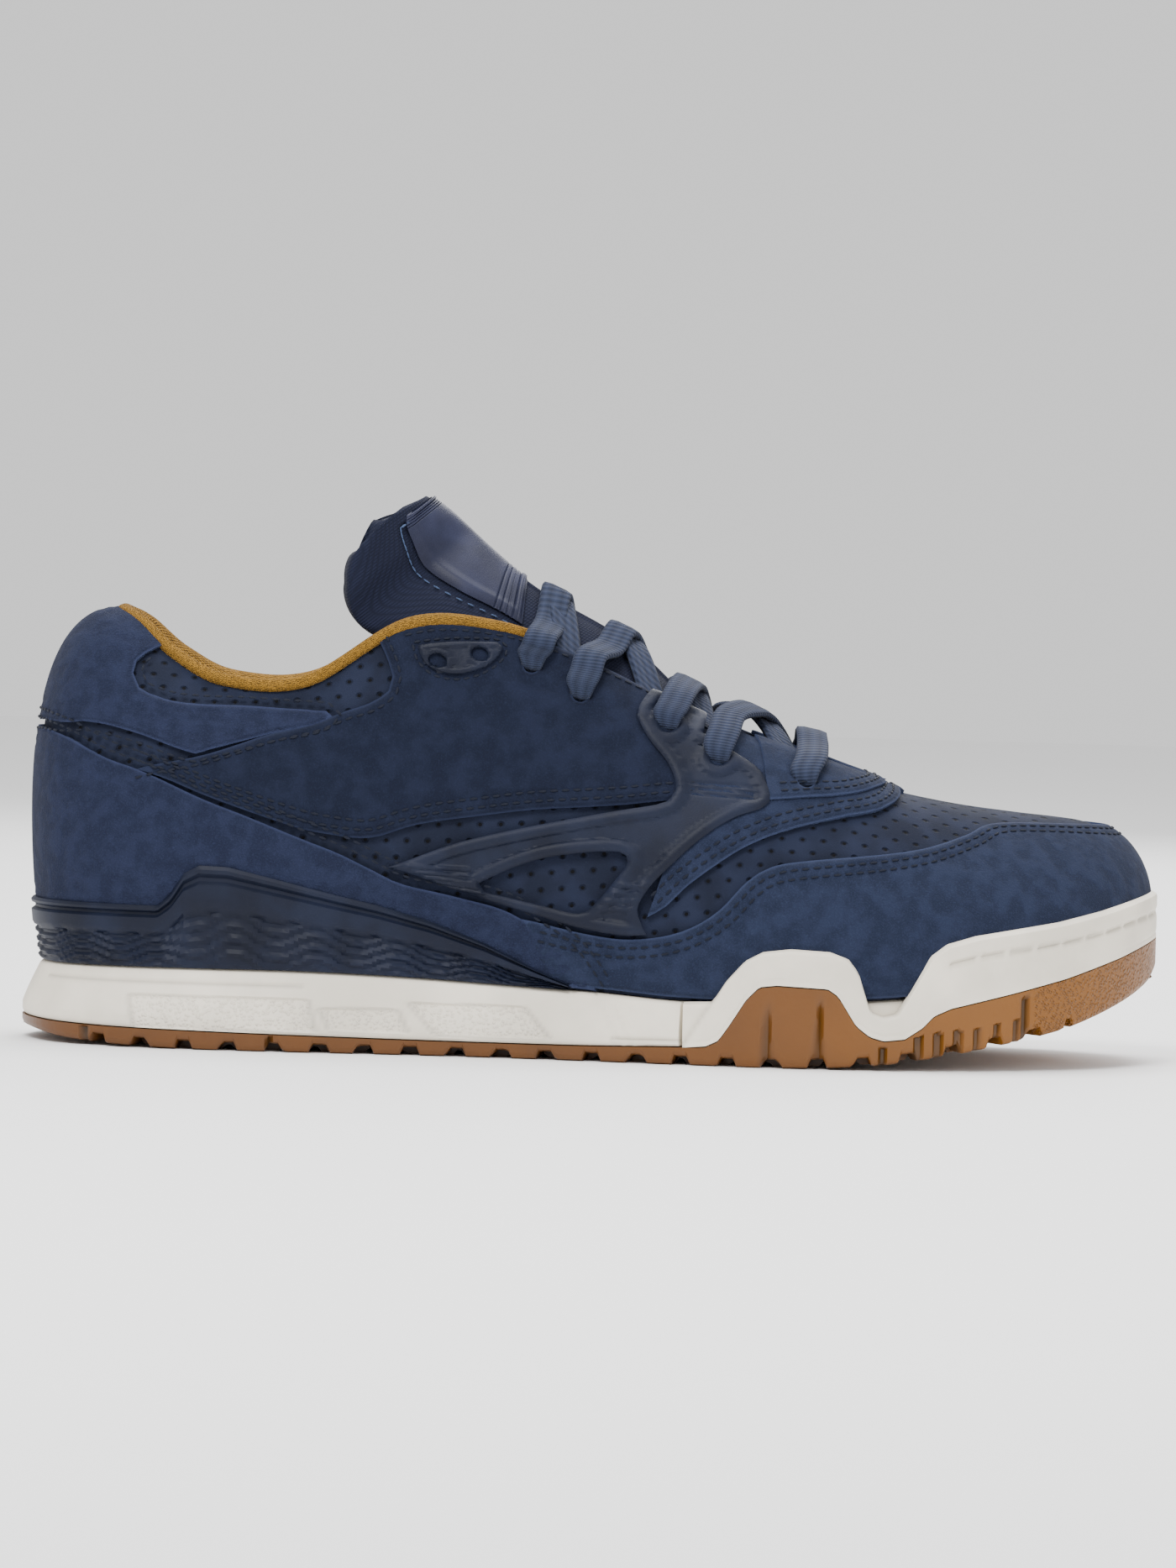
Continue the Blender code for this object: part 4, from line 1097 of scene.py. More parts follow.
def open_knit(colour):
    """Ochre spacer knit with small dark holes between its loops."""
    material, tree, shader = start_material("ochre knit", 0.92, sheen_weight=0.02)
    u, v, _ = axes(tree, "UV")
    holes = placed_group(tree, "holes")
    tree.links.new(u, holes.inputs["Along"])
    tree.links.new(v, holes.inputs["Up"])
    holes.inputs["Pitch"].default_value = 0.0022
    holes.inputs["Row"].default_value = 0.0011
    holes.inputs["Radius"].default_value = 0.00042
    yarn = noise(tree, 2200.0, 2.0)
    dark, light = shades(colour, 0.7, 1.25)
    knit = mixed(tree, yarn, dark, light)
    set_colour(tree, shader, mixed(tree, holes.outputs["Hole"], knit, KNIT_SHADOW))
    dip = maths(tree, "SUBTRACT", 1.0, holes.outputs["Dip"])
    set_bump(tree, shader, [(dip, 0.0006), (yarn, 0.0002)])
    return material


def braided(colour):
    material, tree, shader = start_material("flat braid", 0.85, sheen_weight=0.03)
    u, v, _ = axes(tree, "UV")
    braid = placed_group(tree, "braid")
    tree.links.new(u, braid.inputs["Along"])
    tree.links.new(v, braid.inputs["Across"])
    dark, light = shades(colour, 0.55, 1.5)
    mask = maths(tree, "MULTIPLY", braid.outputs["Height"], 0.9)
    set_colour(tree, shader, mixed(tree, mask, dark, light))
    set_bump(tree, shader, [(braid.outputs["Height"], 0.0004)])
    return material


def thread(name, colour):
    material, tree, shader = start_material(name, 0.7, sheen_weight=0.02)
    twist = noise(tree, 2400.0, 2.0)
    set_colour(tree, shader, mixed(tree, twist, *shades(colour, 0.6, 1.4)))
    set_bump(tree, shader, [(twist, 0.0001)])
    return material


def foam_rubber(colour):
    """White rubber with a pebbled grain where the mould is textured, and painted shade in its recesses.
    """
    material, tree, shader = start_material("white rubber", 0.55)
    shader.inputs["Specular IOR Level"].default_value = 0.4
    pebble = placed_group(tree, "pebble")
    pebble.inputs["Scale"].default_value = 1100.0
    textured = attribute(tree, "texture")
    cloud = noise(tree, 45.0, 4.0)
    dark, light = shades(colour, 0.86, 1.06)
    tone = mixed(tree, smooth_step(tree, cloud, 0.3, 0.7), dark, light)
    # Painted shade: darker where the relief sinks into slots, grooves and lines
    painted_shade = maths(tree, "MULTIPLY", attribute(tree, "hollow"), 0.55)
    set_colour(tree, shader, mixed(tree, painted_shade, tone, GREY_PAINTED_SHADE))
    pebbled = maths(tree, "MULTIPLY", pebble.outputs["Height"], textured)
    set_bump(tree, shader, [(pebbled, 0.00025), (noise(tree, 900.0, 2.0), 0.00005)])
    return material


def gum(colour, pale):
    """Gum rubber, paler at the toe, with grain on the toe block and painted shade in its recesses."""
    material, tree, shader = start_material("gum rubber", 0.42)
    shader.inputs["Specular IOR Level"].default_value = 0.4
    shader.inputs["Coat Weight"].default_value = 0.03
    pebble = placed_group(tree, "pebble")
    pebble.inputs["Scale"].default_value = 1000.0
    x = axes(tree, "Object")[0]
    toe = smooth_step(tree, x, 0.02, 0.13)
    cloud = noise(tree, 50.0, 4.0)
    low = mixed(tree, cloud, *shades(colour, 0.7, 1.3))
    high = mixed(tree, cloud, *shades(pale, 0.85, 1.15))
    tone = mixed(tree, toe, low, high)
    # Painted shade: darker in the slots, lenses and lug gaps
    painted_shade = maths(tree, "MULTIPLY", attribute(tree, "hollow"), 0.8)
    set_colour(tree, shader, mixed(tree, painted_shade, tone, BROWN_PAINTED_SHADE))
    textured = maths(tree, "MULTIPLY", pebble.outputs["Height"], attribute(tree, "texture"))
    set_bump(tree, shader, [(textured, 0.0005), (noise(tree, 700.0, 2.0), 0.00006)])
    return material


# Fixed colours in linear light
INSOLE_GREY = (0.05, 0.05, 0.055)
# Painted shade inside the perforations of the base
HOLE_SHADE = (0.001, 0.001, 0.002)
KNIT_SHADOW = (0.09, 0.045, 0.008)
# Painted shade that darkens the white rubber and the gum in their recesses
GREY_PAINTED_SHADE = (0.16, 0.15, 0.13)
BROWN_PAINTED_SHADE = (0.03, 0.015, 0.004)

FINISHES = {}


def finish_for(name):
    """Material of one finish, made the first time that it is asked for."""
    if name in FINISHES:
        return FINISHES[name]
    colours = {
        label: tuple(getattr(bpy.context.scene.shoe_colours, label))
        for label in ShoeColours.__annotations__
    }
    makers = {
        "suede": lambda: suede("vamp suede", colours["suede"]),
        # The heel's suede is a little darker than the vamp's: painted shade
        "coarse": lambda: suede("heel suede", colours["heel_suede"], 240.0, 0.0003, (0.86, 1.18)),
        # The quarters' suede is the vamp's suede made darker: painted shade
        "short": lambda: suede("quarter suede", colours["quarter_suede"], 160.0, 0.00012),
        "edge": lambda: raw_edge(colours["suede"]),
        "base": lambda: perforated_suede(colours["base"]),
        "moulded": lambda: moulded("moulded navy", colours["moulded"]),
        "label": lambda: moulded("label rubber", colours["label"], 0.45),
        "canvas": lambda: canvas("tongue canvas", colours["canvas"]),
        "insole": lambda: canvas("insole cloth", INSOLE_GREY, 0.0012),
        "knit": lambda: open_knit(colours["ochre"]),
        "lace": lambda: braided(colours["lace"]),
        "dark thread": lambda: thread("dark thread", colours["thread"]),
        "pale thread": lambda: thread("pale thread", colours["pale_thread"]),
        "white": lambda: foam_rubber(colours["white"]),
        "gum": lambda: gum(colours["gum"], colours["pale_gum"]),
    }
    FINISHES[name] = makers[name]()
    return FINISHES[name]


# Edges of the panels as seen from the side: along as a share of LENGTH, height of COLLAR_HEIGHT
COUNTER_EDGE = [
    (0.009, 0.730), (0.035, 0.716), (0.069, 0.673), (0.103, 0.641), (0.134, 0.607), (0.168, 0.569),
    (0.208, 0.531), (0.263, 0.477), (0.307, 0.427), (0.337, 0.393), (0.383, 0.368), (0.422, 0.343),
    (0.453, 0.301), (0.478, 0.258), (0.496, 0.203), (0.506, 0.163),
]
LEAF_EDGE = [
    (0.153, 0.679), (0.116, 0.710), (0.083, 0.736), (0.057, 0.746), (0.037, 0.742), (0.012, 0.742),
]
HEEL_WINDOW = [
    (0.166, 0.690), (0.222, 0.732), (0.271, 0.773), (0.249, 0.786), (0.208, 0.789), (0.166, 0.790),
    (0.124, 0.801), (0.102, 0.825), (0.096, 0.858), (0.098, 0.886), (0.110, 0.910),
]
QUARTER_REAR = [
    (0.103, 0.641), (0.167, 0.682), (0.222, 0.732), (0.271, 0.773), (0.302, 0.805), (0.319, 0.836),
    (0.322, 0.870), (0.318, 0.903), (0.309, 0.953),
]
QUARTER_FOOT = [
    (0.103, 0.641), (0.134, 0.615), (0.168, 0.580), (0.208, 0.545), (0.263, 0.507), (0.306, 0.499),
    (0.345, 0.531), (0.396, 0.554), (0.456, 0.575), (0.517, 0.587), (0.560, 0.600), (0.590, 0.606),
]
SADDLE_FOOT = [
    (0.322, 0.433), (0.361, 0.403), (0.407, 0.366), (0.453, 0.332), (0.489, 0.307), (0.526, 0.292),
    (0.548, 0.295),
]
SADDLE_FRONT = [
    (0.548, 0.295), (0.540, 0.351), (0.549, 0.400), (0.566, 0.450), (0.593, 0.516), (0.620, 0.562),
    (0.644, 0.584), (0.651, 0.609), (0.646, 0.640), (0.637, 0.672), (0.606, 0.722), (0.590, 0.745),
]
SADDLE_REAR = [
    (0.534, 0.806), (0.533, 0.786), (0.543, 0.739), (0.561, 0.683), (0.569, 0.635), (0.566, 0.610),
    (0.553, 0.589), (0.487, 0.557), (0.436, 0.529), (0.382, 0.493), (0.343, 0.454), (0.322, 0.433),
]
SADDLE_WINDOW = [
    (0.402, 0.402), (0.428, 0.435), (0.457, 0.462), (0.494, 0.478), (0.523, 0.480), (0.530, 0.459),
    (0.519, 0.414), (0.501, 0.356), (0.489, 0.339), (0.465, 0.350), (0.407, 0.383),
]
STAY_OUTER = [
    (0.548, 0.335), (0.564, 0.361), (0.579, 0.402), (0.603, 0.452), (0.633, 0.503), (0.669, 0.541),
    (0.714, 0.569), (0.753, 0.592), (0.772, 0.602),
]
STAY_INNER = [(0.648, 0.601), (0.683, 0.607), (0.713, 0.611), (0.737, 0.622), (0.750, 0.626)]
GUARD_EDGE = [
    (0.440, 0.322), (0.453, 0.316), (0.490, 0.295), (0.526, 0.283), (0.559, 0.291), (0.586, 0.314),
    (0.610, 0.356), (0.633, 0.422), (0.654, 0.456), (0.684, 0.470), (0.729, 0.481), (0.790, 0.502),
    (0.821, 0.526), (0.864, 0.554), (0.900, 0.583), (0.945, 0.620),
]
PLATE_EDGE = [
    (0.343, 0.939), (0.360, 0.946), (0.389, 0.950), (0.411, 0.948), (0.416, 0.937), (0.409, 0.909),
    (0.393, 0.885), (0.375, 0.876), (0.357, 0.886), (0.346, 0.914),
]

# Raised and sunk lines of the saddle: start along, start height, end along, end height
SADDLE_FAN = [
    (0.338, 0.437, 0.392, 0.432), (0.345, 0.424, 0.395, 0.418), (0.354, 0.412, 0.398, 0.404),
    (0.364, 0.401, 0.402, 0.391), (0.376, 0.390, 0.406, 0.379),
]
SADDLE_BARS = [
    (0.508, 0.350, 0.536, 0.352), (0.512, 0.368, 0.537, 0.370), (0.517, 0.386, 0.541, 0.388),
    (0.521, 0.404, 0.546, 0.406),
]
NECK_GROOVES = [
    (0.576, 0.640, 0.640, 0.628), (0.577, 0.628, 0.641, 0.616), (0.577, 0.616, 0.640, 0.604),
]


# Heights over the upper's bare face, and distances from a panel's edge to its stitches
LOW_LIFT = 0.0017
HIGH_LIFT = 0.0018
INNER_LIFT = 0.0028
SADDLE_LIFT = 0.0021
PLATE_LIFT = 0.0026
THREAD_LIFT = 0.00005
BORDER_ROWS = (0.0022, 0.0046)
MOULDING = 0.0016
FINE_CURVE = 0.0015
GUARD_LAST_STATION = 16.2


def heel_symmetric(places):
    """Closed run over both sides of the heel from a lateral run that starts at the heel."""
    return places[::-1] + [(-ring, share) for ring, share in places]


def flip_side(run):
    """The same run on the other side of the shoe."""
    return [(-ring, share) for ring, share in run]


def quilted(lift):
    """Lift that sinks along the stitched rows of a panel's border."""
    def relief(_bare, distance):
        sunk = sum(math.exp(-((distance - row) / 0.0008) ** 2) for row in BORDER_ROWS)
        edge = 1.0 - min(distance / 0.0012, 1.0)
        return lift - 0.0002 * sunk - 0.0003 * edge
    return relief


def panel(name, finish, outline_run, node, lift=LOW_LIFT, holes=(), steps=(0.12, 0.025),
          relief=None, rim="edge", thickness=None):
    """Overlay of the upper, with a raw rim where the finish has one."""
    sizes = bpy.context.scene.shoe_sizes
    mesh_data = panel_mesh(outline_run, holes, steps, relief or quilted(lift))
    piece = finish_piece(mesh_data, name, [finish_for(finish), finish_for(rim)], (node,))
    return thicken(piece, thickness or sizes.overlay, rim_slot=1)


# Stitches
def stitch_row(mesh_data, run, lift, pitch=None):
    """Lays short threads end to end along a run on the ribs."""
    sizes = bpy.context.scene.shoe_sizes
    pitch = pitch or sizes.stitch_pitch
    points = [spot(ring, share, lift) for ring, share in run]
    travelled = 0.0
    for index in range(len(points) - 1):
        span = points[index + 1] - points[index]
        length = span.length
        while travelled < length and length > 1e-6:
            share = travelled / length
            ring = run[index][0] + (run[index + 1][0] - run[index][0]) * share
            up = run[index][1] + (run[index + 1][1] - run[index][1]) * share
            place_stitch(mesh_data, points[index] + span * share, span, outward_at(ring, up),
                         pitch * 0.78, sizes.stitch_width)
            travelled += pitch
        travelled -= length


def place_stitch(mesh_data, middle, span, outward, length, width):
    along = span.normalized()
    across = outward.cross(along).normalized()
    turn = Matrix((along, across, along.cross(across))).transposed().to_4x4()
    size = Matrix.Diagonal((length / 2, width / 2, width * 0.36, 1.0))
    bmesh.ops.create_icosphere(
        mesh_data, subdivisions=1, radius=1.0, matrix=Matrix.Translation(middle) @ turn @ size,
    )


def double_row(mesh_data, run, lift, side):
    """Two rows of stitches beside a panel's edge."""
    for distance in BORDER_ROWS:
        stitch_row(mesh_data, inset_run(run, distance, side), lift + THREAD_LIFT)


def single_row(mesh_data, run, side):
    """One row of stitches beside a low panel's edge."""
    stitch_row(mesh_data, inset_run(run, BORDER_ROWS[0], side), LOW_LIFT + THREAD_LIFT)


# Panels of the upper
def eyelet_holes(side, indices, wide, tall=None, tilt=0.0):
    """Closed runs round some of the eyelets."""
    return [oval(*seen(side, EYELETS[index])[0], wide, tall or wide, tilt) for index in indices]


def throat_edge(side, start, end):
    """Run along the throat or collar edge between two stations."""
    count = max(round(abs(end - start) / 0.15), 1)
    return [(side * (start + (end - start) * index / count), 1.0) for index in range(count + 1)]


def model_base():
    """Perforated base of the whole upper."""
    rings = between(-TOE, TOE, 0.1)
    shares = between(0.0, 1.0, 0.025)
    mesh_data = bent_grid(
        len(rings) - 1, len(shares) - 1, lambda column, row: spot(rings[column], shares[row]),
    )
    bmesh.ops.remove_doubles(mesh_data, verts=mesh_data.verts, dist=0.00003)
    bmesh.ops.dissolve_degenerate(mesh_data, edges=mesh_data.edges, dist=THIN_FACE)
    turn_out(mesh_data)
    piece = finish_piece(mesh_data, "upper_base", [finish_for("base")], ("upper",))
    thicken(piece, WALL, soft=0.0)


def model_heel():
    """Heel counter, collar panel and its window, and their stitches."""
    top = seen(LATERAL, *COUNTER_EDGE)
    top = curve([(0.0, top[0][1])] + top)
    foot = [(-station, wedge_share(station) - 0.02) for station in between(0.0, abs(top[-1][0]), 0.3)]
    foot = [(ring, max(share, 0.005)) for ring, share in foot]
    outline_run = heel_symmetric(top)[:-1]
    half_foot = foot[::-1]
    counter = outline_run + flip_side(half_foot) + half_foot[::-1][1:]
    panel("heel_counter_suede", "coarse", counter, "heel_counter", HIGH_LIFT)
    rows = bmesh.new()
    for side in (LATERAL, MEDIAL):
        run = top if side == LATERAL else flip_side(top)
        double_row(rows, run, HIGH_LIFT, -side)
    leaf = seen(LATERAL, *LEAF_EDGE)
    window = curve(seen(LATERAL, *HEEL_WINDOW))
    window_top = [(window[-1][0] - 0.02, 1.0)]
    leaf = curve([(0.0, leaf[-1][1])] + leaf[::-1])
    lateral = leaf + window + window_top
    collar = heel_symmetric(lateral)
    collar = [place for index, place in enumerate(collar) if index == 0 or place != collar[index - 1]]
    collar_end = -window_top[0][0]
    collar += throat_edge(MEDIAL, collar_end, 0.0) + throat_edge(LATERAL, 0.0, collar_end)[1:]
    panel("collar_panel_suede", "coarse", collar, "collar_panel")
    for side in (LATERAL, MEDIAL):
        run = leaf + window
        run = run if side == LATERAL else flip_side(run)
        single_row(rows, run, side)
    finish_piece(rows, "heel_stitches", [finish_for("dark thread")])


def wedge_share(station):
    """Share of the way up a rib where the heel wedge ends."""
    def is_short(share):
        point = bare_point(LATERAL, station, share)
        return point.z < on_edge(WEDGE_TOP, point.x)

    return halve(0.0, 1.0, is_short, 20)[1]


def model_quarters():
    """Suede quarters of both sides and their stitches."""
    rows = bmesh.new()
    for side, name in SIDES:
        rear = curve(seen(side, *QUARTER_REAR))
        foot = curve(seen(side, *QUARTER_FOOT))
        front_station = crown_at(side, 0.585)
        top = throat_edge(side, abs(rear[-1][0]), front_station)
        outline_run = rear + top + foot[::-1][:-1]
        holes = eyelet_holes(side, (3, 4), 0.0021)
        panel("quarter_" + name + "_suede", "short", outline_run, "quarter_" + name,
              holes=holes)
        single_row(rows, rear, side)
        double_row(rows, foot, LOW_LIFT, -side)
        rim = [(ring, 0.965) for ring, _ in top]
        stitch_row(rows, rim[2:], LOW_LIFT + THREAD_LIFT)
    finish_piece(rows, "quarter_stitches", [finish_for("dark thread")])


def side_distance(bare, lines):
    """Least distance to lines that are seen from the side."""
    place = Vector((bare.x, bare.z))
    nearest = 1.0
    for start_along, start_height, end_along, end_height in lines:
        start = Vector(((start_along - 0.5) * LENGTH, start_height * COLLAR_HEIGHT))
        end = Vector(((end_along - 0.5) * LENGTH, end_height * COLLAR_HEIGHT))
        span = end - start
        share = min(max((place - start).dot(span) / span.length_squared, 0.0), 1.0)
        nearest = min(nearest, (place - start - span * share).length)
    return nearest


def saddle_relief(bare, distance):
    """Raised rounded rim, sunk field, ribs at the rear and front, and grooves at the neck."""
    rim = max(0.0, 1.0 - ((distance - 0.0016) / 0.0017) ** 2) if distance < 0.0033 else 0.0
    lift = SADDLE_LIFT + 0.0009 * math.sqrt(rim)
    lift += 0.0007 * math.exp(-(side_distance(bare, SADDLE_FAN + SADDLE_BARS) / 0.0006) ** 2)
    lift -= 0.0004 * math.exp(-(side_distance(bare, NECK_GROOVES) / 0.0005) ** 2)
    return lift


def model_saddles():
    """Moulded saddles that hold the second and third eyelets, and the plates of the top two."""
    rows = bmesh.new()
    for side, name in SIDES:
        foot = curve(seen(side, *SADDLE_FOOT), FINE_CURVE)
        front = curve(seen(side, *SADDLE_FRONT), FINE_CURVE)
        rear = curve(seen(side, *SADDLE_REAR), FINE_CURVE)
        top = throat_edge(side, crown_at(side, 0.592), crown_at(side, 0.545))
        outline_run = foot + front[1:] + top + rear[:-1]
        holes = eyelet_holes(side, (1, 2), 0.0021)
        holes.append(curve(seen(side, *SADDLE_WINDOW, SADDLE_WINDOW[0]), FINE_CURVE)[:-1])
        panel("saddle_" + name + "_moulding", "moulded", outline_run,
              "saddle_" + name, holes=holes, steps=(0.06, 0.0125), relief=saddle_relief,
              rim="moulded", thickness=MOULDING)
        plate = curve(seen(side, *PLATE_EDGE, PLATE_EDGE[0]), 0.0012)[:-1]
        holes = eyelet_holes(side, (5, 6), 0.0023, 0.0018, side * 0.4)
        panel("eyelet_plate_" + name + "_moulding", "moulded", plate,
              "eyelet_plate_" + name, holes=holes, steps=(0.05, 0.0125), relief=plate_relief,
              rim="moulded", thickness=MOULDING)
        stitch_row(rows, inset_run(plate + plate[:1], -0.0012, side), 0.0018, pitch=0.0026)
    finish_piece(rows, "plate_stitches", [finish_for("dark thread")])


def plate_relief(_bare, distance):
    """Flat field with a rounded rim."""
    rim = max(0.0, 1.0 - ((distance - 0.0008) / 0.0008) ** 2)
    return PLATE_LIFT + 0.0006 * math.sqrt(rim)


def model_vamp():
    """Two layers of the stay round the throat, and the toe mudguard."""
    rows = bmesh.new()
    layers = (
        ("vamp_stay_outer", STAY_OUTER, HIGH_LIFT, 0.605, ("vamp_stay",)),
        ("vamp_stay_inner", STAY_INNER, INNER_LIFT, 0.635, ()),
    )
    for name, edge, lift, start, nodes in layers:
        halves = []
        for side in (LATERAL, MEDIAL):
            outer = seen(side, *edge)
            spine = crown_at(LATERAL, edge[-1][0], THROAT_FRONT, TOE)
            outer = curve(outer[:-1] + [(side * spine, 1.0)])
            top = throat_edge(side, spine, crown_at(side, start))
            halves.append((outer + top[1:], eyelet_holes(side, (0,), 0.0022)))
            double_row(rows, outer[2:], lift, -side)
        merged = bmesh.new()
        for outline_run, holes in halves:
            half = panel_mesh(outline_run, holes, (0.1, 0.02), quilted(lift))
            kept = bpy.data.meshes.new(name)
            half.to_mesh(kept)
            half.free()
            merged.from_mesh(kept)
            bpy.data.meshes.remove(kept)
        bmesh.ops.remove_doubles(merged, verts=merged.verts, dist=0.00005)
        turn_out(merged)
        piece = finish_piece(merged, name, [finish_for("suede"), finish_for("edge")], nodes)
        thicken(piece, bpy.context.scene.shoe_sizes.overlay, rim_slot=1)
    model_guard(rows)
    finish_piece(rows, "vamp_stitches", [finish_for("dark thread")])


def model_guard(rows):
    """Mudguard round the toe, which closes over the front."""
    lateral = seen(LATERAL, *GUARD_EDGE)
    medial = seen(MEDIAL, *GUARD_EDGE)
    lateral = [place for place in lateral if place[0] > -GUARD_LAST_STATION]
    medial = [place for place in medial if place[0] < GUARD_LAST_STATION]
    front = (-TOE, (lateral[-1][1] + medial[-1][1]) / 2)
    wrapped = [(ring - 2 * TOE, share) for ring, share in medial[::-1]]
    top = curve(lateral + [front] + wrapped)
    start = abs(lateral[0][0])
    end = 2 * TOE - abs(medial[0][0])
    foot = [(-ring, 0.01) for ring in between(start, end, 0.3)]
    panel("toe_mudguard_suede", "suede", top + foot[::-1][1:-1], "toe_mudguard",
          HIGH_LIFT, steps=(0.1, 0.025))
    double_row(rows, top[2:-2], HIGH_LIFT, -1)


# Sole
STATION_PARTS = 24
FINE = 1 / STATION_PARTS
BLANK = (0.0, 0.0)
PLAIN = (0.0, 0.0, 0.0)

# Pattern of the tread underneath, in metres
TREAD_SHARES = (0.2, 0.36, 0.52, 0.68, 0.84, 1.0)
TREAD_PITCH = 0.0075
TREAD_WAVE = 0.011
TREAD_SWING = 0.003
TREAD_DEPTH = 0.0012

# Sunk panels of the midsole's side in metres: start, end, foot, top; and their slant
MIDSOLE_PANELS = (
    (-0.1185, -0.0710, 0.0055, 0.0138, 0.25), (-0.0675, -0.0470, 0.0060, 0.0118, 0.5),
    (-0.0400, -0.0100, 0.0055, 0.0136, 0.9),
)
# Raised ribs of the midsole's side: place along in metres
MIDSOLE_RIBS = (0.0036, 0.0066)
# Level lines of the midsole's side in metres: start, end, height
MIDSOLE_LINES = ((-0.145, -0.075, 0.0172), (0.006, 0.028, 0.0062))

# Sunk lenses, growing lugs and grained block of the rubber's side, as shares of LENGTH
LENSES = (0.652, 0.697)
LUG_WAVE_START = 0.770
LUG_WAVE_END = 0.872
LUG_WAVE_PITCH = 0.0172
TOE_BLOCK_START = 0.884

# Spacing of the bumper's stitches, smooth angle in degrees, and stations where pieces end
BUMPER_STITCH = 0.0083
SOLE_SMOOTH = 32.0
WEDGE_REACH = 7.75
LINING_REACH = 7.55

# Size of the knit's UV map in metres
LINING_LENGTH = 0.29
LINING_GIRTH = 0.105


def bump_at(value, middle, half_width, soft):
    """1 inside a stretch and 0 outside, with eased ends."""
    share = (half_width - abs(value - middle)) / soft + 0.5
    share = min(max(share, 0.0), 1.0)
    return share * share * (3 - 2 * share)


@lru_cache(maxsize=None)
def edge_lengths(side):
    """Distance along the sole's edge at each fine station."""
    lengths = [0.0]
    before = outline(side, 0.0)[0]
    for index in range(1, TOE * STATION_PARTS + 1):
        here = outline(side, index * FINE)[0]
        lengths.append(lengths[-1] + (here - before).length)
        before = here
    return lengths


def edge_length(side, station):
    return edge_lengths(side)[round(station * STATION_PARTS)]


def lug_gap_at(side, station):
    """1 in a gap between two lugs, by the distance from the first lug's station."""
    travelled = edge_length(side, station) - edge_length(side, LUG_START)
    if station < LUG_START or station > LUG_END:
        return 0.0
    offset = (travelled + LUG_PITCH / 2) % LUG_PITCH - LUG_PITCH / 2
    if travelled < LUG_PITCH / 2:
        return 0.0
    return bump_at(offset, 0.0, LUG_GAP / 2, 0.0008)


def in_box(along, height, low_along, high_along, low, high, slant=0.0):
    """1 in a slanted panel of the sole's side, by shares of LENGTH and of metres up."""
    shifted = along - slant * (height - low)
    middle = (low_along + high_along) / 2
    inside = bump_at(shifted, middle, (high_along - low_along) / 2, 0.0025)
    return inside * bump_at(height, (low + high) / 2, (high - low) / 2, 0.0006)


def side_column(side, station, profile, relief, count):
    """Points up a side wall, moved in by the relief; also its texture and painted recess-shade values."""
    points = []
    along = outline(side, station)[0].x
    for row in range(count + 1):
        inset, height = profile(row / count)
        depth, texture, hollow = relief(side, station, along, height)
        points.append((sole_point(side, station, inset + depth, height), texture, hollow))
    return points


def sole_sections(half_ring):
    """Sections right across the foot, with texture and painted recess-shade values at each point."""
    return [
        half_ring(LATERAL, station) + half_ring(MEDIAL, station)[::-1]
        for station in between(0.0, TOE, FINE)
    ]


def dress(name, finish, sections, node, closed_ends=False):
    """Piece from closed sections whose points carry texture and painted recess-shade values."""
    count = len(sections[0])
    mesh_data = bent_grid(
        len(sections) - 1, count, lambda column, row: sections[column][row % count][0]
    )
    texture = mesh_data.verts.layers.float.new("texture")
    hollow = mesh_data.verts.layers.float.new("hollow")
    mesh_data.verts.ensure_lookup_table()
    wide = len(sections)
    for index, vertex in enumerate(mesh_data.verts):
        _, vertex[texture], vertex[hollow] = sections[index % wide][(index // wide) % count]
    seal(mesh_data, closed_ends, clean=True)
    finish_piece(mesh_data, name, [finish_for(finish)], (node,), SOLE_SMOOTH)


def gum_relief(_side, _station, along, height):
    """Slots, lens ribs and growing lugs of the rubber's side, and the grain of its toe block; painted
    shade deepens in the slots, lenses and lug gaps.
    """
    share = along / LENGTH + 0.5
    depth = 0.0
    hollow = 0.0
    for middle, low, high in FLANK_SLOTS:
        inside = bump_at(along, (middle - 0.5) * LENGTH, SLOT_WIDTH / 2, 0.0007)
        inside *= bump_at(height, (low + high) / 2 * SOLE_HEIGHT, (high - low) / 2 * SOLE_HEIGHT, 0.001)
        depth += SLOT_DEPTH * inside
        hollow = max(hollow, inside)
    for middle in LENSES:
        wide = 0.0013 * min(max(1.15 - height / 0.018, 0.1), 1.0)
        inside = math.exp(-((along - (middle - 0.5) * LENGTH) / wide) ** 2)
        depth += 0.0015 * inside
        hollow = max(hollow, inside * 0.7)
    into_lugs = share - LUG_WAVE_START
    if LUG_WAVE_START < share < LUG_WAVE_END and height < 0.0085 + into_lugs * 0.05:
        wave = math.sin(into_lugs / LUG_WAVE_PITCH * 2 * math.pi)
        inside = bump_at(wave, -1.0, 0.55, 0.35)
        depth += 0.0012 * inside
        hollow = max(hollow, inside * 0.8)
    toe_block = 1.0 if share > TOE_BLOCK_START else 0.0
    return depth, toe_block, hollow


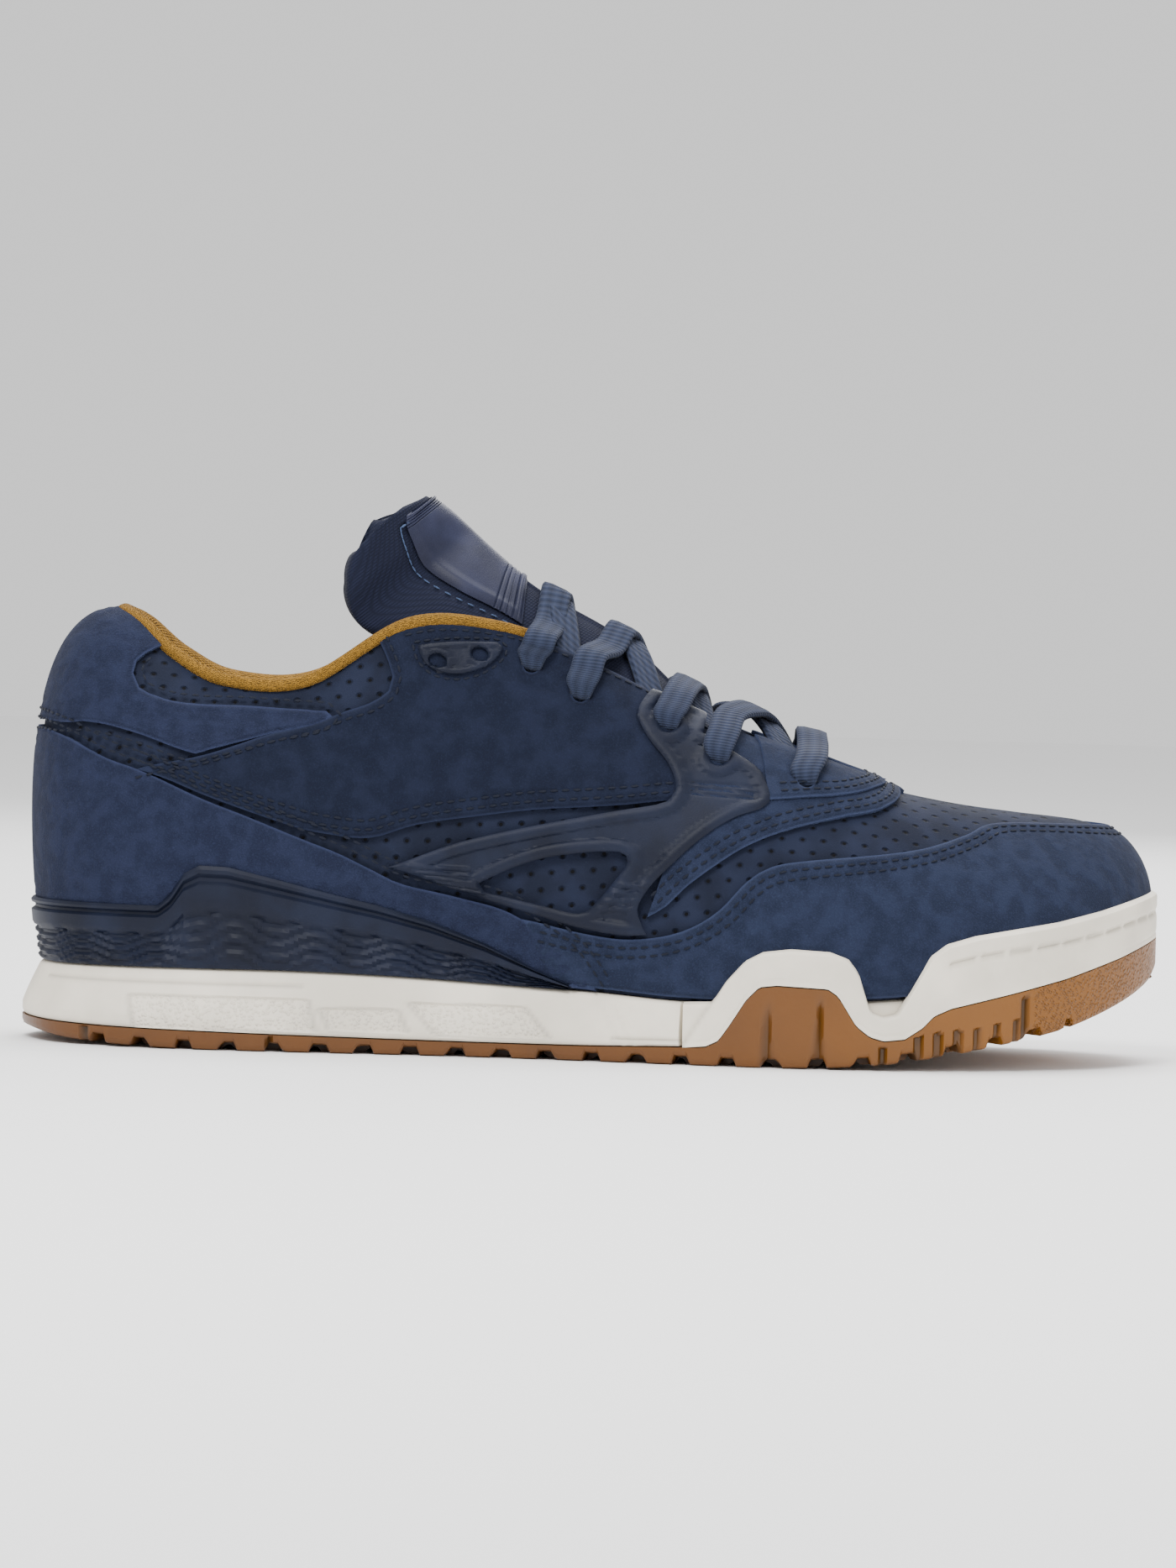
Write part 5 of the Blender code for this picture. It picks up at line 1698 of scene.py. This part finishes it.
def outsole_half(side, station):
    """One side's section of the rubber: tread, lug, wall and rim, with painted shade in the tread grooves
    and lug gaps.
    """
    bottom = underside(station)
    top = rubber_top(side, station)
    gap = lug_gap_at(side, station)
    low = bottom + LUG_DEPTH * gap

    def profile(share):
        if share < 0.12:
            turn = share / 0.12 * math.pi / 2
            return EDGE_BREAK * (1 - math.sin(turn)), low + EDGE_BREAK * (1 - math.cos(turn))
        return 0.0, low + EDGE_BREAK + (top - low - EDGE_BREAK) * (share - 0.12) / 0.88

    wall = side_column(side, station, profile, gum_relief, 16)
    shoulder = min(top, max(plate_top(station), sole_top(station)))
    inner = [
        (inner_wall(side, station, top), *BLANK),
        (inner_wall(side, station, shoulder), *BLANK),
        (sole_point(side, station, RIM, plate_top(station)), *BLANK),
    ]
    bottoms = []
    width = abs(outline(side, station)[0].y)
    for share in TREAD_SHARES:
        inset = LUG_REACH + (width - LUG_REACH) * (1 - share)
        place = sole_point(side, station, min(inset, width * 0.96), bottom)
        wave = abs((place.y / TREAD_WAVE) % 2.0 - 1.0) * TREAD_SWING
        tread = bump_at((place.x + wave) % TREAD_PITCH, TREAD_PITCH / 2, 0.0011, 0.0007)
        deep = tread if 0.4 < station < 16.3 and width > 0.012 else 0.0
        # Painted shade in the tread grooves
        bottoms.append((place + Vector((0, 0, TREAD_DEPTH * deep)), 0.0, deep * 0.5))
    lug_inner = sole_point(side, station, min(LUG_REACH, width * 0.5), low)
    # Painted shade in the lug gaps
    return bottoms + [(lug_inner, 0.0, gap * 0.6)] + wall + inner


def midsole_relief(_side, _station, along, height):
    """Sunk and grained panels, fine lines and the double rib of the midsole's side, with painted shade
    along the panels' borders and in the lines.
    """
    depth = 0.0
    texture = 0.0
    hollow = 0.0
    for start, end, low, high, slant in MIDSOLE_PANELS:
        inside = in_box(along, height, start, end, low, high, -slant)
        depth += 0.0007 * inside
        texture = max(texture, inside)
        border = inside * (1 - inside) * 4
        hollow = max(hollow, border * 0.6)
    for middle in MIDSOLE_RIBS:
        line = math.exp(-((along - middle - (0.0145 - height) * 0.55) / 0.0007) ** 2)
        depth -= 0.0005 * line * bump_at(height, 0.009, 0.006, 0.002)
    for start, end, level_up in MIDSOLE_LINES:
        if start < along < end:
            line = math.exp(-((height - level_up) / 0.00045) ** 2)
            depth += 0.0005 * line
            hollow = max(hollow, line * 0.7)
    return depth, texture, hollow


def midsole_half(side, station):
    """One side's section of the midsole."""
    foot = plate_top(station) + FIT
    top = sole_top(station)
    in_rim = station >= BAND_START
    low_inset = RIM + FIT if in_rim else 0.0
    top_inset = RIM + FIT if in_rim else tuck(station) - LEDGE

    def profile(share):
        eased = max((share - 0.2) / 0.8, 0.0)
        soft = 0.0006 * max(1 - share / 0.06, 0.0) if not in_rim else 0.0
        roll = 0.0012 * max((share - 0.92) / 0.08, 0.0) ** 2
        inset = low_inset + (top_inset - low_inset) * eased ** 1.15 + soft + roll
        return inset, foot + (top - foot) * share

    relief = (lambda *_: PLAIN) if in_rim else midsole_relief
    return side_column(side, station, profile, relief, 24)


def band_relief(side, station, along, height):
    """Slanted groove with its stitches near the top of the toe bumper, and the step at its rise, with
    painted shade in the groove and at the step.
    """
    low = on_edge(BAND_FOOT, along)
    high = on_edge(BAND_TOP, along)
    depth = 0.0
    hollow = 0.0
    if along > 0.092:
        line = math.exp(-((height - (high - 0.0052)) / 0.0007) ** 2)
        travelled = edge_length(side, station)
        segment = bump_at(travelled % BUMPER_STITCH, BUMPER_STITCH / 2, 0.0034, 0.0008)
        depth += 0.0009 * line * (0.35 + 0.65 * segment)
        hollow = line * segment * 0.6
    step = math.exp(-((along - (0.0244 + (height - 0.0058) * 0.63)) / 0.0008) ** 2)
    if 0.02 < along < 0.034:
        depth += 0.0006 * step
        hollow = max(hollow, step * 0.5)
    if high - low > 0.006:
        seam = math.exp(-((height - low - 0.0012) / 0.0004) ** 2)
        depth += 0.0002 * seam
    return depth, 0.0, hollow


def model_band():
    """Toe bumper from one side of the forefoot round to the other."""
    sections = []
    stations = between(BAND_START, TOE, FINE)
    places = [(LATERAL, station) for station in stations]
    places += [(MEDIAL, station) for station in stations[::-1]][1:]
    for side, station in places:
        along = outline(side, station)[0].x
        low = on_edge(BAND_FOOT, along)
        high = on_edge(BAND_TOP, along)

        def profile(share):
            soft = min(0.0014, (high - low) / 2)
            from_top = (1 - share) * (high - low)
            turn = max(soft - from_top, 0.0) / soft
            return soft * (1 - math.sqrt(max(1 - turn * turn, 0.0))), low + (high - low) * share

        wall = side_column(side, station, profile, band_relief, 20)
        inner = [
            (inner_wall(side, station, height), *BLANK) for height in (high, (low + high) / 2, low)
        ]
        sections.append(wall + inner)
    dress("toe_bumper", "white", sections, "foxing_band", closed_ends=True)


def wedge_relief(along, share):
    """Thickness of the heel wedge: a bead on top, a proud band, and wavy grooves below it."""
    thickness = OVERLAY * 1.2
    band = bump_at(share, 0.70, 0.13, 0.05)
    bead = math.sqrt(max(0.0, 1 - ((share - 0.95) / 0.055) ** 2))
    thickness += 0.0012 * band + 0.0011 * bead
    below = bump_at(share, 0.30, 0.27, 0.08)
    flame = 0.22 * math.sin((along + 0.15) / 0.021 * 2 * math.pi)
    ridge = bump_at((share * 2.6 + flame) % 0.36, 0.18, 0.08, 0.05)
    return thickness + 0.0007 * ridge * below


def model_wedge():
    """Moulded stabiliser round the heel."""
    sections = []
    rows = 26
    for ring in between(-WEDGE_REACH, WEDGE_REACH, FINE):
        side = LATERAL if ring < 0 else MEDIAL
        station = abs(ring)
        top = wedge_share(station)
        along = outline(side, station)[0].x
        outer = []
        for row in range(rows + 1):
            share = row / rows
            lift = FIT + wedge_relief(along, share)
            outer.append((upper_point(side, station, top * share, lift), *BLANK))
        inner = [(upper_point(side, station, top * up, FIT), *BLANK) for up in (1.0, 0.5, 0.0)]
        sections.append(outer + inner)
    dress("heel_stabiliser", "moulded", sections, "heel_wedge", closed_ends=True)


def insole_half(side, station):
    """One side's section of the cupped footbed."""
    base = sole_top(station) + FIT
    inner = upper_point(side, station, 0.0, -(WALL + 2 * FIT))
    cup = 0.0012
    points = [Vector((inner.x, inner.y, base)), Vector((inner.x, inner.y, base + INSOLE_THICKNESS + cup))]
    middle_y = (upper_point(LATERAL, station, 0.0).y + upper_point(MEDIAL, station, 0.0).y) / 2
    for share in (0.93, 0.82, 0.6, 0.35):
        rise = INSOLE_THICKNESS + cup * max(0.0, (share - 0.6) / 0.4) ** 2
        points.append(Vector((inner.x, middle_y + (inner.y - middle_y) * share, base + rise)))
    return [(point, *BLANK) for point in points]


def model_sole():
    """All pieces below the upper."""
    dress("outsole_rubber", "gum", sole_sections(outsole_half), "outsole")
    dress("midsole_cup", "white", sole_sections(midsole_half), "midsole")
    dress("footbed", "insole", sole_sections(insole_half), "insole")
    model_band()
    model_wedge()


# Inside of the shoe
# Seam of the tongue: share of the half width, height over the cloth, and pitch of its stitches
SEAM_SHARE = 0.66
SEAM_LIFT = 0.0009
SEAM_PITCH = 0.0030


def lay_uv(mesh_data, scale_along, scale_up):
    """Sizes a grid's own UV map in metres, so that a pattern keeps its scale."""
    layer = mesh_data.loops.layers.uv.verify()
    for face in mesh_data.faces:
        for loop in face.loops:
            loop[layer].uv = (loop[layer].uv.x * scale_along, loop[layer].uv.y * scale_up)


def model_lining():
    """Padded roll of knit round the collar, down the inside of the heel."""
    sections = []
    for ring in between(-LINING_REACH, LINING_REACH, 0.07):
        side = LATERAL if ring < 0 else MEDIAL
        coarse = lining_ring(side, abs(ring))
        loop = []
        for index in range(len(coarse)):
            around = [coarse[(index + shift) % len(coarse)] for shift in (-1, 0, 1, 2)]
            count = 4 if index >= len(RIB_ROWS) - 1 - LINING_FOOT_ROW else 1
            for part in range(count):
                loop.append(Vector([
                    through(*(point[axis] for point in around), part / count) for axis in range(3)
                ]))
        sections.append(loop)
    count = len(sections[0])
    mesh_data = bent_grid(
        len(sections) - 1, count, lambda column, row: sections[column][row % count]
    )
    lay_uv(mesh_data, LINING_LENGTH, LINING_GIRTH)
    seal(mesh_data)
    piece = finish_piece(mesh_data, "collar_knit", [finish_for("knit")],
                         ("collar_lining",))


def tongue_face(row, across, lift):
    """Point over the tongue's front face."""
    step = 0.05
    here = tongue_point(row, across)
    up = tongue_point(row + step, across) - tongue_point(row - step, across)
    over = tongue_point(row, min(across + step, 1)) - tongue_point(row, max(across - step, -1))
    return here + over.cross(up).normalized() * lift


def tongue_relief(row, across):
    """Rolled binding at the edges, its stitched inner line, and the raised seam in the middle."""
    edge = min((1 - abs(across)) * 0.028, (LAST_ROW - row) * 0.0092)
    lift = 0.0007 * bump_at(edge, 0.0045, 0.005, 0.0012)
    lift -= 0.0011 * math.exp(-(edge / 0.0012) ** 2)
    seam = bump_at(across, 0.0, 0.035, 0.03) * (1.0 if row < LAST_ROW - 1.1 else 0.0)
    return lift + 0.0008 * seam


def model_tongue():
    """Padded tongue with rounded top corners, its stitches and its label."""
    columns, lines = 72, 110
    top_seam = LAST_ROW - 1.15

    def place(column, line):
        row = LAST_ROW * line / lines
        corner = 0.9 * max(0.0, 1 - (LAST_ROW - row) / 1.3)
        across = (2 * column / columns - 1) * (1 - corner ** 3) ** (1 / 3)
        return tongue_face(row, across, tongue_relief(row, across))

    mesh_data = bent_grid(columns, lines, place)
    turn_out(mesh_data)
    piece = finish_piece(mesh_data, "tongue_cloth", [finish_for("canvas")], ("tongue",))
    thicken(piece, TONGUE_THICKNESS - 0.001, soft=0.0)
    rows = bmesh.new()
    for side in (LATERAL, MEDIAL):
        sew(rows, [
            tongue_face(row, side * SEAM_SHARE, SEAM_LIFT) for row in between(4.0, top_seam, 0.25)
        ])
    sew(rows, [
        tongue_face(top_seam, across, SEAM_LIFT) for across in between(-SEAM_SHARE, SEAM_SHARE, 0.06)
    ])
    finish_piece(rows, "tongue_stitches", [finish_for("pale thread")])
    model_label()


def sew(rows, points):
    """Stitches along points that aren't on the ribs."""
    sizes = bpy.context.scene.shoe_sizes
    pitch = SEAM_PITCH
    for start, end in zip(points, points[1:]):
        span = end - start
        count = max(round(span.length / pitch), 1)
        outward = Vector((0.6, start.y * 6, 1.0)).normalized()
        for index in range(count):
            middle = start + span * (index + 0.5) / count
            place_stitch(rows, middle, span, outward, pitch * 0.75, sizes.stitch_width)


def model_label():
    """Smooth label on the tongue, with fine cross grooves near its ends."""
    start, end = LAST_ROW * 8 / 16, LAST_ROW * 15 / 16
    wide = 0.6
    columns, lines = 48, 240

    def place(column, line):
        part = line / lines
        row = start + (end - start) * part
        across = wide * (2 * column / columns - 1)
        near_end = min(part, 1 - part)
        groove = 0.0
        if 0.03 < near_end < 0.16:
            groove = max(0.0, math.cos(near_end / 0.030 * 2 * math.pi)) ** 4
        border = min((1 - abs(across) / wide) * 0.016, near_end * 0.045)
        lift = FIT + LABEL_THICKNESS - 0.0004 * groove - 0.0006 * math.exp(-(border / 0.0007) ** 2)
        lift += 0.0004 * bump_at(border, 0.0016, 0.0008, 0.0005)
        return tongue_face(row, across, lift)

    mesh_data = bent_grid(columns, lines, place)
    turn_out(mesh_data)
    piece = finish_piece(mesh_data, "tongue_label_rubber", [finish_for("label")],
                         ("tongue_label",))
    thicken(piece, LABEL_THICKNESS, soft=0.0002)


# Laces
# Section of the flat lace: across and up, as shares of half its width and half its thickness
LACE_SECTION = (
    (-1.0, 0.0), (-0.93, 0.7), (-0.7, 1.0), (-0.35, 0.92), (0.0, 0.78), (0.35, 0.92), (0.7, 1.0),
    (0.93, 0.7), (1.0, 0.0), (0.93, -0.7), (0.5, -1.0), (0.0, -1.0), (-0.5, -1.0), (-0.93, -0.7),
)
# Points of the lace from one place to the next
LACE_PARTS = 7
# Heights of the lace over the upper's bare face, on the stay or a saddle and on a quarter
OVER_STAY = 0.0040
OVER_QUARTER = 0.0031


def smooth_places(places):
    """Smooth run through centre points with their cross directions and widths."""
    run = []
    for index in range(len(places) - 1):
        around = [places[min(max(index + shift, 0), len(places) - 1)] for shift in (-1, 0, 1, 2)]
        for part in range(LACE_PARTS):
            share = part / LACE_PARTS
            middle = Vector([through(*(item[0][axis] for item in around), share) for axis in range(3)])
            across = Vector([through(*(item[1][axis] for item in around), share) for axis in range(3)])
            width = through(*(item[2] for item in around), share)
            run.append((middle, across.normalized(), width))
    return run + [(places[-1][0], places[-1][1].normalized(), places[-1][2])]


def ribbon(name, places, nodes=()):
    """Flat woven lace through places: middle, direction across, width."""
    sizes = bpy.context.scene.shoe_sizes
    run = smooth_places(places)
    half_thick = sizes.lace_thickness / 2
    count = len(LACE_SECTION)

    faces_up = []
    for index, (_, across, _) in enumerate(run):
        ahead = run[min(index + 1, len(run) - 1)][0] - run[max(index - 1, 0)][0]
        upward = ahead.cross(across).normalized()
        if faces_up and upward.dot(faces_up[-1]) < 0:
            upward = -upward
        faces_up.append(upward)

    def place(column, row):
        middle, across, width = run[column]
        upward = faces_up[column]
        x, y = LACE_SECTION[row % count]
        return middle + across * x * width / 2 + upward * y * half_thick

    mesh_data = bent_grid(len(run) - 1, count, place)
    seal(mesh_data)
    return finish_piece(mesh_data, name, [finish_for("lace")], nodes, 70.0)


def lace_down(side, index, shift):
    """Places from inside an eyelet up over the stay and to the throat's edge."""
    sizes = bpy.context.scene.shoe_sizes
    station, share = seen_at(side, *EYELETS[index])
    edge_station = crown_at(side, EYELETS[index][0] + shift)
    layers = OVER_STAY if index < 3 else OVER_QUARTER
    across = Vector((1.0, 0.0, -0.25 if index > 0 else -0.1))
    ring = side * station
    middle_ring = side * (station + edge_station) / 2
    outward = outward_at(ring, share)
    inside = spot(ring, share) - outward * 0.004
    return [
        (inside, across, 0.0042),
        (spot(ring, share) + outward * 0.0014, across, 0.0056),
        (spot(ring, min(share + 0.03, 1.0)) + outward * layers, across, sizes.lace_width * 0.93),
        (spot(middle_ring, (share + 1.0) / 2) + outward * (layers + 0.0004), across, sizes.lace_width),
        (spot(side * edge_station, 1.0) + outward_at(side * edge_station, 0.98) * (layers + 0.0008),
         across, sizes.lace_width),
    ]


def model_laces():
    """A straight bar at the toe end, then crossings that come up from under the stay."""
    sizes = bpy.context.scene.shoe_sizes
    bar = lace_down(LATERAL, 0, 0.004)
    medial = lace_down(MEDIAL, 0, 0.004)
    low, high = bar[-1][0], medial[-1][0]
    for share in (0.25, 0.5, 0.75):
        middle = low.lerp(high, share)
        over_cloth = tongue_height(middle.x, middle.y) + 0.002
        middle.z = max(middle.z + LACE_ARCH * 4 * share * (1 - share), over_cloth)
        bar.append((middle, Vector((1.0, 0.0, -0.2)), sizes.lace_width))
    ribbon("lace_bar_braid", bar + medial[::-1], ("lace_bar",))
    for index in range(1, len(EYELETS) - 2):
        for side, name in SIDES:
            nodes = ("lace_cross_" + str(index),) if side == LATERAL else ()
            model_crossing(index, side, name, nodes)


def model_crossing(index, side, name, nodes):
    """One run from an eyelet down and across, toe-ward, to under the stay of the other side."""
    sizes = bpy.context.scene.shoe_sizes
    down = lace_down(side, index, 0.006)
    edge = down[-1][0]
    start = EYELETS[index - 1][0] - LACE_SHIFT * 0.35
    far_station = crown_at(-side, start)
    far = spot(-side * far_station, 1.0)
    outward = outward_at(-side * far_station, 0.97)
    hidden = spot(-side * far_station, 0.92) - outward * 0.0006
    lip = far - outward * 0.0004 + Vector((0.0, side * 0.0015, 0.0))
    lip.z = max(lip.z, tongue_height(lip.x, lip.y) + 0.0016)
    run = hidden - edge
    across = Vector((-run.y, run.x, 0.0)).normalized()
    if across.x < 0:
        across = -across
    across.z = -THROAT_SLOPE * across.x
    places = down
    top = 0.0017 if side == LATERAL else 0.0
    for share, blend in ((0.28, 0.5), (0.5, 1.0), (0.72, 0.5)):
        middle = edge.lerp(lip, share)
        lift = 0.0022 + top * blend
        arch = LACE_ARCH * 4 * share * (1 - share)
        middle.z = max(middle.z + arch * 1.5 + top * blend, tongue_height(middle.x, middle.y) + lift)
        places.append((middle, across, sizes.lace_width))
    places += [(lip, across, sizes.lace_width), (hidden, across, sizes.lace_width * 0.9)]
    ribbon("lace_" + name + "_" + str(index + 1), places, nodes)


# Stage
def model_stage():
    """Pale floor, soft lights and the camera at the photograph's angle."""
    floor_data = bmesh.new()
    bmesh.ops.create_grid(floor_data, x_segments=1, y_segments=1, size=3.0)
    mesh = bpy.data.meshes.new("floor")
    floor_data.to_mesh(mesh)
    floor_data.free()
    floor = bpy.data.objects.new("floor", mesh)
    bpy.context.scene.collection.objects.link(floor)
    material, tree, shader = start_material("pale floor", 0.75)
    cloud = noise(tree, 3.0, 2.0)
    set_colour(tree, shader, mixed(tree, cloud, (0.90, 0.90, 0.90), (0.93, 0.93, 0.93)))
    mesh.materials.append(material)
    world = bpy.data.worlds.new("studio")
    world.use_nodes = True
    world.node_tree.nodes["Background"].inputs["Color"].default_value = (1.0, 1.0, 1.0, 1.0)
    world.node_tree.nodes["Background"].inputs["Strength"].default_value = 1.0
    bpy.context.scene.world = world
    light_up("key", (-0.35, -0.9, 1.1), 0.6, 20.0)
    light_up("fill", (0.9, -1.0, 0.5), 0.9, 4.0)
    light_up("top", (0.1, 0.3, 1.3), 1.0, 20.0)
    light_up("back", (0.2, 1.2, 0.7), 0.8, 8.0)
    place_camera()


def light_up(name, place, size, power):
    """Round soft light that looks at the shoe."""
    data = bpy.data.lights.new(name, "AREA")
    data.shape = "DISK"
    data.size = size
    data.energy = power
    light = bpy.data.objects.new(name, data)
    light.location = place
    aim = Vector((0.0, 0.0, 0.05)) - Vector(place)
    light.rotation_euler = aim.to_track_quat("-Z", "Y").to_euler()
    bpy.context.scene.collection.objects.link(light)


def place_camera():
    """Camera level with the sole and rolled a little, as in the photograph."""
    roll = math.radians(1.5)
    lift = math.radians(2.0)
    far = 2.0
    frame_width = 0.3048
    right = Vector((1.0, 0.0, 0.0))
    up = Vector((0.0, math.sin(lift), math.cos(lift)))
    back = Vector((0.0, -math.cos(lift), math.sin(lift)))
    turned_right = right * math.cos(roll) + up * math.sin(roll)
    turned_up = up * math.cos(roll) - right * math.sin(roll)
    data = bpy.data.cameras.new("camera")
    data.sensor_fit = "HORIZONTAL"
    data.sensor_width = 36.0
    data.lens = data.sensor_width * far / frame_width
    data.clip_start = 0.01
    camera = bpy.data.objects.new("camera", data)
    aim = Vector((-0.002, -0.04, 0.0717))
    turn = Matrix((turned_right, turned_up, back)).transposed().to_4x4()
    camera.matrix_world = Matrix.Translation(aim + back * far) @ turn
    bpy.context.scene.collection.objects.link(camera)
    bpy.context.scene.camera = camera


# Add-on
def colour_value(name, description, default):
    return bpy.props.FloatVectorProperty(
        name=name, description=description, default=default, subtype="COLOR", size=3, min=0, max=1,
    )


def length_value(name, description, default):
    return bpy.props.FloatProperty(
        name=name, description=description, default=default, unit="LENGTH", subtype="DISTANCE",
    )


class ShoeSizes(bpy.types.PropertyGroup):
    """Sizes of the dressing."""
    overlay: length_value("Overlay", "Thickness of the suede overlays", OVERLAY)
    stitch_pitch: length_value("Stitch pitch", "Distance from one stitch to the next", 0.0030)
    stitch_width: length_value("Stitch width", "Width of the thread", 0.0007)
    lace_width: length_value("Lace width", "Width of the flat lace", 0.0084)
    lace_thickness: length_value("Lace thickness", "Thickness of the flat lace", 0.0021)


class ShoeColours(bpy.types.PropertyGroup):
    """Colours in linear light."""
    suede: colour_value("Suede", "Vamp, stay and mudguard", (0.0135, 0.0180, 0.0370))
    # A little darker than the vamp's suede as painted shade on the same suede
    heel_suede: colour_value("Heel suede", "Counter and collar panel", (0.0125, 0.0160, 0.0350))
    # Darker than the vamp's suede as painted shade on the same suede
    quarter_suede: colour_value("Quarter suede", "Quarters", (0.0080, 0.0105, 0.0225))
    base: colour_value("Base", "Perforated base", (0.0090, 0.0120, 0.0260))
    moulded: colour_value("Moulded", "Saddles, plates and heel wedge", (0.0062, 0.0085, 0.0190))
    label: colour_value("Label", "Rubber label of the tongue", (0.0150, 0.0170, 0.0360))
    canvas: colour_value("Canvas", "Tongue cloth", (0.0080, 0.0100, 0.0240))
    ochre: colour_value("Ochre", "Knit of the collar", (0.36, 0.185, 0.026))
    lace: colour_value("Lace", "Flat braid", (0.0200, 0.0260, 0.0500))
    thread: colour_value("Thread", "Dark thread", (0.006, 0.008, 0.016))
    pale_thread: colour_value("Pale thread", "Thread of the tongue's binding", (0.045, 0.07, 0.14))
    white: colour_value("White", "Midsole and toe bumper", (0.76, 0.70, 0.59))
    gum: colour_value("Gum", "Flank of the outsole", (0.098, 0.032, 0.0008))
    pale_gum: colour_value("Pale gum", "Toe of the outsole", (0.175, 0.061, 0.0010))


class SHOE_OT_sole(bpy.types.Operator):
    """Models the rubber, the midsole, the bumper, the heel wedge and the footbed."""
    bl_idname = "shoe.sole"
    bl_label = "Sole"

    def execute(self, context):
        model_sole()
        return {"FINISHED"}


class SHOE_OT_upper(bpy.types.Operator):
    """Models the base of the upper, its panels and their stitches."""
    bl_idname = "shoe.upper"
    bl_label = "Upper"

    def execute(self, context):
        model_base()
        model_heel()
        model_quarters()
        model_saddles()
        model_vamp()
        return {"FINISHED"}


class SHOE_OT_inside(bpy.types.Operator):
    """Models the knit lining and the tongue with its label."""
    bl_idname = "shoe.inside"
    bl_label = "Lining and tongue"

    def execute(self, context):
        model_lining()
        model_tongue()
        return {"FINISHED"}


class SHOE_OT_laces(bpy.types.Operator):
    """Runs the flat laces through the eyelets."""
    bl_idname = "shoe.laces"
    bl_label = "Laces"

    def execute(self, context):
        model_laces()
        return {"FINISHED"}


class SHOE_OT_stage(bpy.types.Operator):
    """Adds the floor, the lights and the camera."""
    bl_idname = "shoe.stage"
    bl_label = "Stage"

    def execute(self, context):
        model_stage()
        return {"FINISHED"}


class SHOE_PT_panel(bpy.types.Panel):
    """Lists the steps that build the shoe."""
    bl_label = "Skateboarding Shoe"
    bl_idname = "SHOE_PT_panel"
    bl_space_type = "VIEW_3D"
    bl_region_type = "UI"
    bl_category = "Shoe"

    def draw(self, context):
        for group in (context.scene.shoe_sizes, context.scene.shoe_colours):
            for name in group.__annotations__:
                self.layout.prop(group, name)
        for step in STEPS:
            self.layout.operator(step.bl_idname)


STEPS = (SHOE_OT_sole, SHOE_OT_upper, SHOE_OT_inside, SHOE_OT_laces, SHOE_OT_stage)
CLASSES = (ShoeSizes, ShoeColours, *STEPS, SHOE_PT_panel)


def register():
    for found in CLASSES:
        bpy.utils.register_class(found)
    bpy.types.Scene.shoe_sizes = bpy.props.PointerProperty(type=ShoeSizes)
    bpy.types.Scene.shoe_colours = bpy.props.PointerProperty(type=ShoeColours)


def unregister():
    del bpy.types.Scene.shoe_colours
    del bpy.types.Scene.shoe_sizes
    for found in reversed(CLASSES):
        bpy.utils.unregister_class(found)


def main():
    register()
    bpy.ops.shoe.sole()
    bpy.ops.shoe.upper()
    bpy.ops.shoe.inside()
    bpy.ops.shoe.laces()
    bpy.ops.shoe.stage()


if __name__ == "__main__":
    main()
